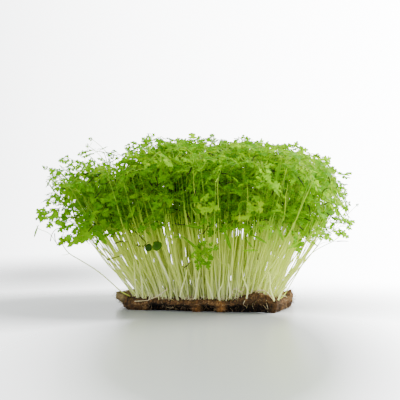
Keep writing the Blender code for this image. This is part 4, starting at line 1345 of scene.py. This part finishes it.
def bunchTree():
    growth = Growth("growBunch", {
        "Stem Sides": "Int", "Stalk Sides": "Int", "Shapes": "Collection", "Stem": "Material",
        "Leaf": "Material", "Husk": "Material", "Root": "Material",
    })
    plan = growth.given("Geometry")
    shapes = growth.given("Shapes")
    return growth.end(
        growth.tubes(growth.only(plan, "stem"), growth.given("Stem Sides"), growth.given("Stem")),
        growth.tubes(growth.only(plan, "stalk"), growth.given("Stalk Sides"), growth.given("Stem")),
        growth.tubes(growth.only(plan, "root"), growth.given("Stalk Sides"), growth.given("Root")),
        growth.tubes(growth.only(plan, "twig"), growth.given("Stalk Sides"), growth.given("Husk")),
        growth.scattered(growth.only(plan, "blade"), shapes, growth.given("Leaf")),
        growth.scattered(growth.only(plan, "husk"), shapes, growth.given("Husk")),
    )


def grown(piece, growth, values):
    # Runs the tree on the piece and keeps the result as a plain mesh
    modifier = piece.modifiers.new("growth", "NODES")
    modifier.node_group = growth.tree
    for label, value in values.items():
        modifier[growth.ids[label]] = value
    graph = bpy.context.evaluated_depsgraph_get()
    mesh = bpy.data.meshes.new_from_object(piece.evaluated_get(graph))
    piece.modifiers.remove(modifier)
    old = piece.data
    piece.data = mesh
    bpy.data.meshes.remove(old)
    mesh.name = piece.name
    # Nothing grown leaves the solids' box
    places = np.empty(3 * len(mesh.vertices), dtype=np.float32)
    mesh.vertices.foreach_get("co", places)
    places = np.clip(places.reshape(-1, 3), np.array(cadLow), np.array(cadHigh))
    mesh.vertices.foreach_set("co", places.ravel())
    mesh.update()
    return piece


# Loose fibres that stand out of the felt

fringe = {
    "density": 330000.0, "seed": 5, "length": (0.0008, 0.0032), "thickness": 0.022, "sides": 3,
    "floor": 0.0004,
}


def fringeTree():
    growth = Growth("growFringe", {
        "Density": "Float", "Seed": "Int", "Shortest": "Float", "Longest": "Float",
        "Thickness Share": "Float", "Sides": "Int", "Lowest": "Float", "Fibre": "Material",
    })
    seed = growth.given("Seed")
    felted = growth.given("Geometry")
    sown = growth.tree.nodes.new("GeometryNodeDistributePointsOnFaces")
    for label, value in (("Mesh", felted), ("Density", growth.given("Density")), ("Seed", seed)):
        growth.tree.links.new(value.socket, sown.inputs[label])
    points, turn = Wire(growth, sown.outputs["Points"]), Wire(growth, sown.outputs["Rotation"])
    loose = growth.node("FunctionNodeRandomValue", {"data_type": "FLOAT_VECTOR"},
                        {0: (-1.25, -1.25, -3.1), 1: (1.25, 1.25, 3.1), "Seed": seed})
    loose = growth.node("FunctionNodeEulerToRotation", {}, {0: loose})
    turn = growth.node("FunctionNodeRotateRotation", {"rotation_space": "LOCAL"}, {0: turn, 1: loose})
    size = growth.node("FunctionNodeRandomValue", {"data_type": "FLOAT"}, {
        2: growth.given("Shortest"), 3: growth.given("Longest"), "Seed": seed}, output=1)
    bow = growth.node("GeometryNodeCurveQuadraticBezier", {}, {
        "Resolution": 4, "Start": (0, 0, -0.15), "Middle": (0.1, 0.25, 0.7), "End": (0.75, 0.1, 0.8)})
    ring = growth.node("GeometryNodeCurvePrimitiveCircle", {}, {
        "Resolution": growth.given("Sides"), "Radius": growth.given("Thickness Share")})
    fibre = growth.node("GeometryNodeCurveToMesh", {}, {
        "Curve": bow, "Profile Curve": ring, "Fill Caps": True})
    copies = growth.node("GeometryNodeInstanceOnPoints", {}, {
        "Points": points, "Instance": fibre, "Rotation": turn, "Scale": size})
    tint = growth.node("FunctionNodeRandomValue", {"data_type": "FLOAT"},
                       {2: 0.0, 3: 1.0, "Seed": seed}, output=1)
    copies = growth.node("GeometryNodeStoreNamedAttribute", {"data_type": "FLOAT", "domain": "INSTANCE"},
                         {0: copies, "Name": "tint", "Value": tint})
    real = growth.node("GeometryNodeRealizeInstances", {}, {0: copies})
    place = growth.tree.nodes.new("ShaderNodeSeparateXYZ")
    growth.tree.links.new(growth.node("GeometryNodeInputPosition").socket, place.inputs[0])
    x, y, z = (Wire(growth, output) for output in place.outputs)
    raised = growth.maths("MAXIMUM", z, growth.given("Lowest"))
    held = growth.node("ShaderNodeCombineXYZ", {}, {0: x, 1: y, 2: raised})
    lifted = growth.node("GeometryNodeSetPosition", {}, {"Geometry": real, "Position": held})
    return growth.end(growth.painted(lifted, growth.given("Fibre")))


# The stray sprout with two round leaves

sprout = {
    "stations": ((-0.0195, -0.0290, 0.0032), (-0.0195, -0.0290, 0.0115), (-0.0180, -0.0400, 0.0205),
                 (-0.0230, -0.0520, 0.0388)),
    "radius": 0.00075, "leaves": (((0.0008, -0.0008, 0.0034), 0.0031), ((-0.0048, -0.0002, 0.0022), 0.0024)),
    "tilt": 68.0, "sides": 28, "rings": 6, "turns": (-0.3, 0.6), "tones": (1.0, 0.15),
}


def roundLeaf(shape, layer, centre, radius, tilt, turn, tone):
    # A cupped round blade with a small notch at its stalk
    grid = (Matrix.Translation(centre) @ Matrix.Rotation(math.radians(tilt), 4, "X")
            @ Matrix.Rotation(turn, 4, "Z"))
    for lift in (0.00018, -0.00018):
        middle = shape.verts.new(grid @ Vector((0, 0, lift)))
        before = [middle] * sprout["sides"]
        for ring in range(1, sprout["rings"] + 1):
            share = ring / sprout["rings"]
            now = []
            for step in range(sprout["sides"]):
                angle = math.tau * step / sprout["sides"]
                notch = 1 - 0.20 * math.exp(-((angle - math.pi) / 0.30) ** 2) * share
                reach = radius * share * notch * (1 + 0.03 * math.sin(3 * angle))
                bend = 0.10 * radius * share**2 * math.cos(2 * angle) - 0.12 * radius * share**2
                edge = lift * (1 - share**6)
                now.append(shape.verts.new(grid @ Vector((math.cos(angle) * reach, math.sin(angle) * reach,
                                                          bend + edge))))
                now[-1][layer] = share * tone
            for step in range(sprout["sides"]):
                after = (step + 1) % sprout["sides"]
                corners = list(dict.fromkeys([before[step], now[step], now[after], before[after]]))
                shape.faces.new(corners if lift > 0 else corners[::-1])
            before = now


def growSprout():
    stations = [Vector(place) for place in sprout["stations"]]
    plan = Plan("round_sprout")
    plan.line("stem", curved(stations, 6), (sprout["radius"], sprout["radius"] * 0.85), (-0.2, 0.12))
    tip = stations[-1]
    for shift, _ in sprout["leaves"]:
        plan.line("stem", [tip, tip + Vector(shift) * 0.55], (sprout["radius"] * 0.7, 0.0004), (0.3, 0.8))
    piece = grown(plan.object(), bunchGrowth, bunchValues)
    shape = bmesh.new()
    shape.from_mesh(piece.data)
    layer = shape.verts.layers.float.get("alongBlade") or shape.verts.layers.float.new("alongBlade")
    old = set(shape.faces)
    for (shift, radius), turn, tone in zip(sprout["leaves"], sprout["turns"], sprout["tones"]):
        roundLeaf(shape, layer, tip + Vector(shift), radius, sprout["tilt"], turn, tone)
    bmesh.ops.remove_doubles(shape, verts=shape.verts, dist=1e-6)
    piece.data.materials.append(finishes["sproutLeaf"])
    for face in shape.faces:
        if face not in old:
            face.material_index = len(piece.data.materials) - 1
            face.smooth = True
    shape.to_mesh(piece.data)
    shape.free()
    return piece


# Making it

bunchGrowth = bunchTree()
smallShapes = makeShapes()
bunchValues = {
    "Stem Sides": 6, "Stalk Sides": 3, "Shapes": smallShapes, "Stem": finishes["stem"],
    "Leaf": finishes["leaf"], "Husk": finishes["husk"], "Root": finishes["root"],
}

feltMat = growMat()
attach(feltMat, "root")
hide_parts("growing_mat")
print("felt mat:", len(feltMat.data.polygons), "faces")

looseFibres = linked("loose_fibres", feltMat.data.copy())
grown(looseFibres, fringeTree(), {
    "Density": fringe["density"], "Seed": fringe["seed"], "Shortest": fringe["length"][0],
    "Longest": fringe["length"][1], "Thickness Share": fringe["thickness"], "Sides": fringe["sides"],
    "Lowest": fringe["floor"], "Fibre": finishes["fibre"],
})
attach(looseFibres, "root")
print("loose fibres:", len(looseFibres.data.polygons), "faces")

plantedCount = 0
for number, place in enumerate(stripPlaces()):
    node = f"seedlings_{number + 1:02d}"
    plan = Plan(f"bunch_{number + 1:02d}")
    planted = plantedIn(node, number, place)
    plantedCount += len(planted)
    for drawn in planted:
        addPlanted(plan, drawn, number)
    addCrowd(plan, number, place)
    addRoots(plan, number, place)
    bunch = grown(plan.object(), bunchGrowth, bunchValues)
    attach(bunch, "root")
    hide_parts(node)
print("bunches: 30, with", plantedCount, "seedlings of the solids")

roundSprout = growSprout()
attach(roundSprout, "root")
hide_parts("round_leaf_sprout")
print("round-leaved sprout is ready")

strayGrowth = grown(planStrays(feltMat.data).object(), bunchGrowth, bunchValues)
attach(strayGrowth, "root")
print("stray growth:", len(strayGrowth.data.polygons), "faces")

for thing in list(smallShapes.objects):
    bpy.data.objects.remove(thing)
bpy.data.collections.remove(smallShapes)


# The stage, the light and the camera

stage = {
    # The floor near the plant is painted grey as painted shade, and fades to its own pale colour further out
    "floorRadius": 2.4, "paintedShadeNear": (0.50, 0.52, 0.50), "floorFar": (0.88, 0.895, 0.90),
    "paintedShadeReach": (0.12, 0.42), "wall": (0.95, 0.965, 0.975), "wallLight": 1.9, "wallSeen": 7.0,
    # Soft patches on the floor, across and along the view: middle, reach and strength. In the solid ones the
    # floor hides the wall's light, and the tones are painted shadows and a painted reflection of the plant,
    # in grey.
    "solids": (((0.0, -0.16), (0.20, 0.56), 1.2), ((-0.05, 0.0), (0.36, 0.26), 1.2)),
    "tones": (((-0.15, 0.26), (0.24, 0.42), 0.95), ((0.0, -0.24), (0.12, 0.50), 0.80),
              ((-0.07, -0.02), (0.10, 0.08), 0.7)),
    "paintedShadowGrey": (0.38, 0.40, 0.39),
    # The seen wall is darker to the left: from and to, and its brightness there
    "wallReach": (-0.42, 0.02), "wallFade": (0.80, 2.2),
    "floorRoughness": 0.20, "floorShine": 0.5,
}
view = {"target": (-0.0065, 0.0, 0.070), "azimuth": 12.0, "elevation": 0.0, "distance": 0.625, "lens": 85.0}


def buildFloor():
    shape = bmesh.new()
    bmesh.ops.create_circle(shape, cap_ends=True, segments=96, radius=stage["floorRadius"])
    mesh = meshFrom(shape, "floor")
    look = Look("paleFloor")
    place = look.node("ShaderNodeTexCoord", output="Object")
    away = look.node("ShaderNodeVectorMath", {"operation": "LENGTH"}, {0: place}, output=1)
    # Painted shade: the floor is grey near the plant and pale further out
    near, far = stage["paintedShadeReach"]
    share = look.node("ShaderNodeMapRange", {"interpolation_type": "SMOOTHSTEP"},
                      {0: away, 1: near, 2: far, 3: 0.0, 4: 1.0})
    turned = look.node("ShaderNodeVectorRotate", {"rotation_type": "Z_AXIS"},
                       {"Vector": place, "Angle": -math.radians(view["azimuth"])})

    def patch(middle, reach, strength):
        (x, y), (reachX, reachY) = middle, reach
        spot = look.node("ShaderNodeMapping", {}, {
            "Vector": turned, "Location": (-x / reachX, -y / reachY, 0),
            "Scale": (1 / reachX, 1 / reachY, 1)})
        far = look.node("ShaderNodeVectorMath", {"operation": "LENGTH"}, {0: spot}, output=1)
        return look.node("ShaderNodeMapRange", {"interpolation_type": "SMOOTHSTEP"},
                         {0: far, 1: 0.0, 2: 1.0, 3: strength, 4: 0.0})

    def largest(patches):
        total = patch(*patches[0])
        for one in patches[1:]:
            total = look.maths("MAXIMUM", total, patch(*one))
        return total

    # The tones are painted shadows and a painted reflection of the plant on the floor
    solid, tone = largest(stage["solids"]), largest(stage["tones"])
    plain = look.blend(share, (*stage["paintedShadeNear"], 1), (*stage["floorFar"], 1))
    mesh.materials.append(look.finish({
        "Base Color": look.blend(tone, plain, (*stage["paintedShadowGrey"], 1)),
        "Roughness": stage["floorRoughness"],
        "Specular IOR Level": stage["floorShine"],
        "Alpha": look.maths("MAXIMUM", solid, tone),
    }))
    floor = linked("floor", mesh)


def softLight(name, place, target, size, power, colour):
    light = bpy.data.lights.new(name, "AREA")
    light.shape = "DISK"
    light.size = size
    light.energy = power
    light.color = colour
    lamp = linked(name, light)
    lamp.location = place
    lamp.rotation_euler = (Vector(target) - Vector(place)).to_track_quat("-Z", "Y").to_euler()


lights = {
    "windowRight": ((0.85, 0.45, 0.60), (0, 0, 0.06), 0.7, 48.0, (1.0, 0.98, 0.92)),
    "fillFront": ((-0.3, -1.2, 0.7), (0, 0, 0.05), 1.2, 6.0, (0.96, 0.98, 1.0)),
}

buildFloor()
for name, (place, target, size, power, colour) in lights.items():
    softLight(name, place, target, size, power, colour)
world = bpy.data.worlds.new("studio")
world.use_nodes = True
world.node_tree.nodes.clear()
sky = Sheet(world.node_tree)
softer = sky.node("ShaderNodeBackground", {}, {
    "Color": (*stage["wall"], 1), "Strength": stage["wallLight"]})
across = sky.node("ShaderNodeSeparateXYZ", {}, {0: sky.node("ShaderNodeTexCoord", output="Generated")})
wallEnds = dict(enumerate((across, *stage["wallReach"], *stage["wallFade"])))
fade = sky.node("ShaderNodeMapRange", {}, wallEnds)
brighter = sky.node("ShaderNodeBackground", {}, {
    "Color": (*stage["wall"], 1), "Strength": fade * stage["wallSeen"]})
seen = sky.node("ShaderNodeLightPath")
mixed = sky.node("ShaderNodeMixShader", {}, {0: seen, 1: softer, 2: brighter})
sky.node("ShaderNodeOutputWorld", {}, {0: mixed})
bpy.context.scene.world = world

azimuth, elevation = math.radians(view["azimuth"]), math.radians(view["elevation"])
target = Vector(view["target"])
away = Vector((math.sin(azimuth) * math.cos(elevation), -math.cos(azimuth) * math.cos(elevation),
               math.sin(elevation)))
lens = bpy.data.cameras.new("camera")
lens.lens = view["lens"]
camera = linked("camera", lens)
camera.location = target + away * view["distance"]
camera.rotation_euler = (-away).to_track_quat("-Z", "Y").to_euler()
bpy.context.scene.camera = camera
print("stage, light and camera are set")
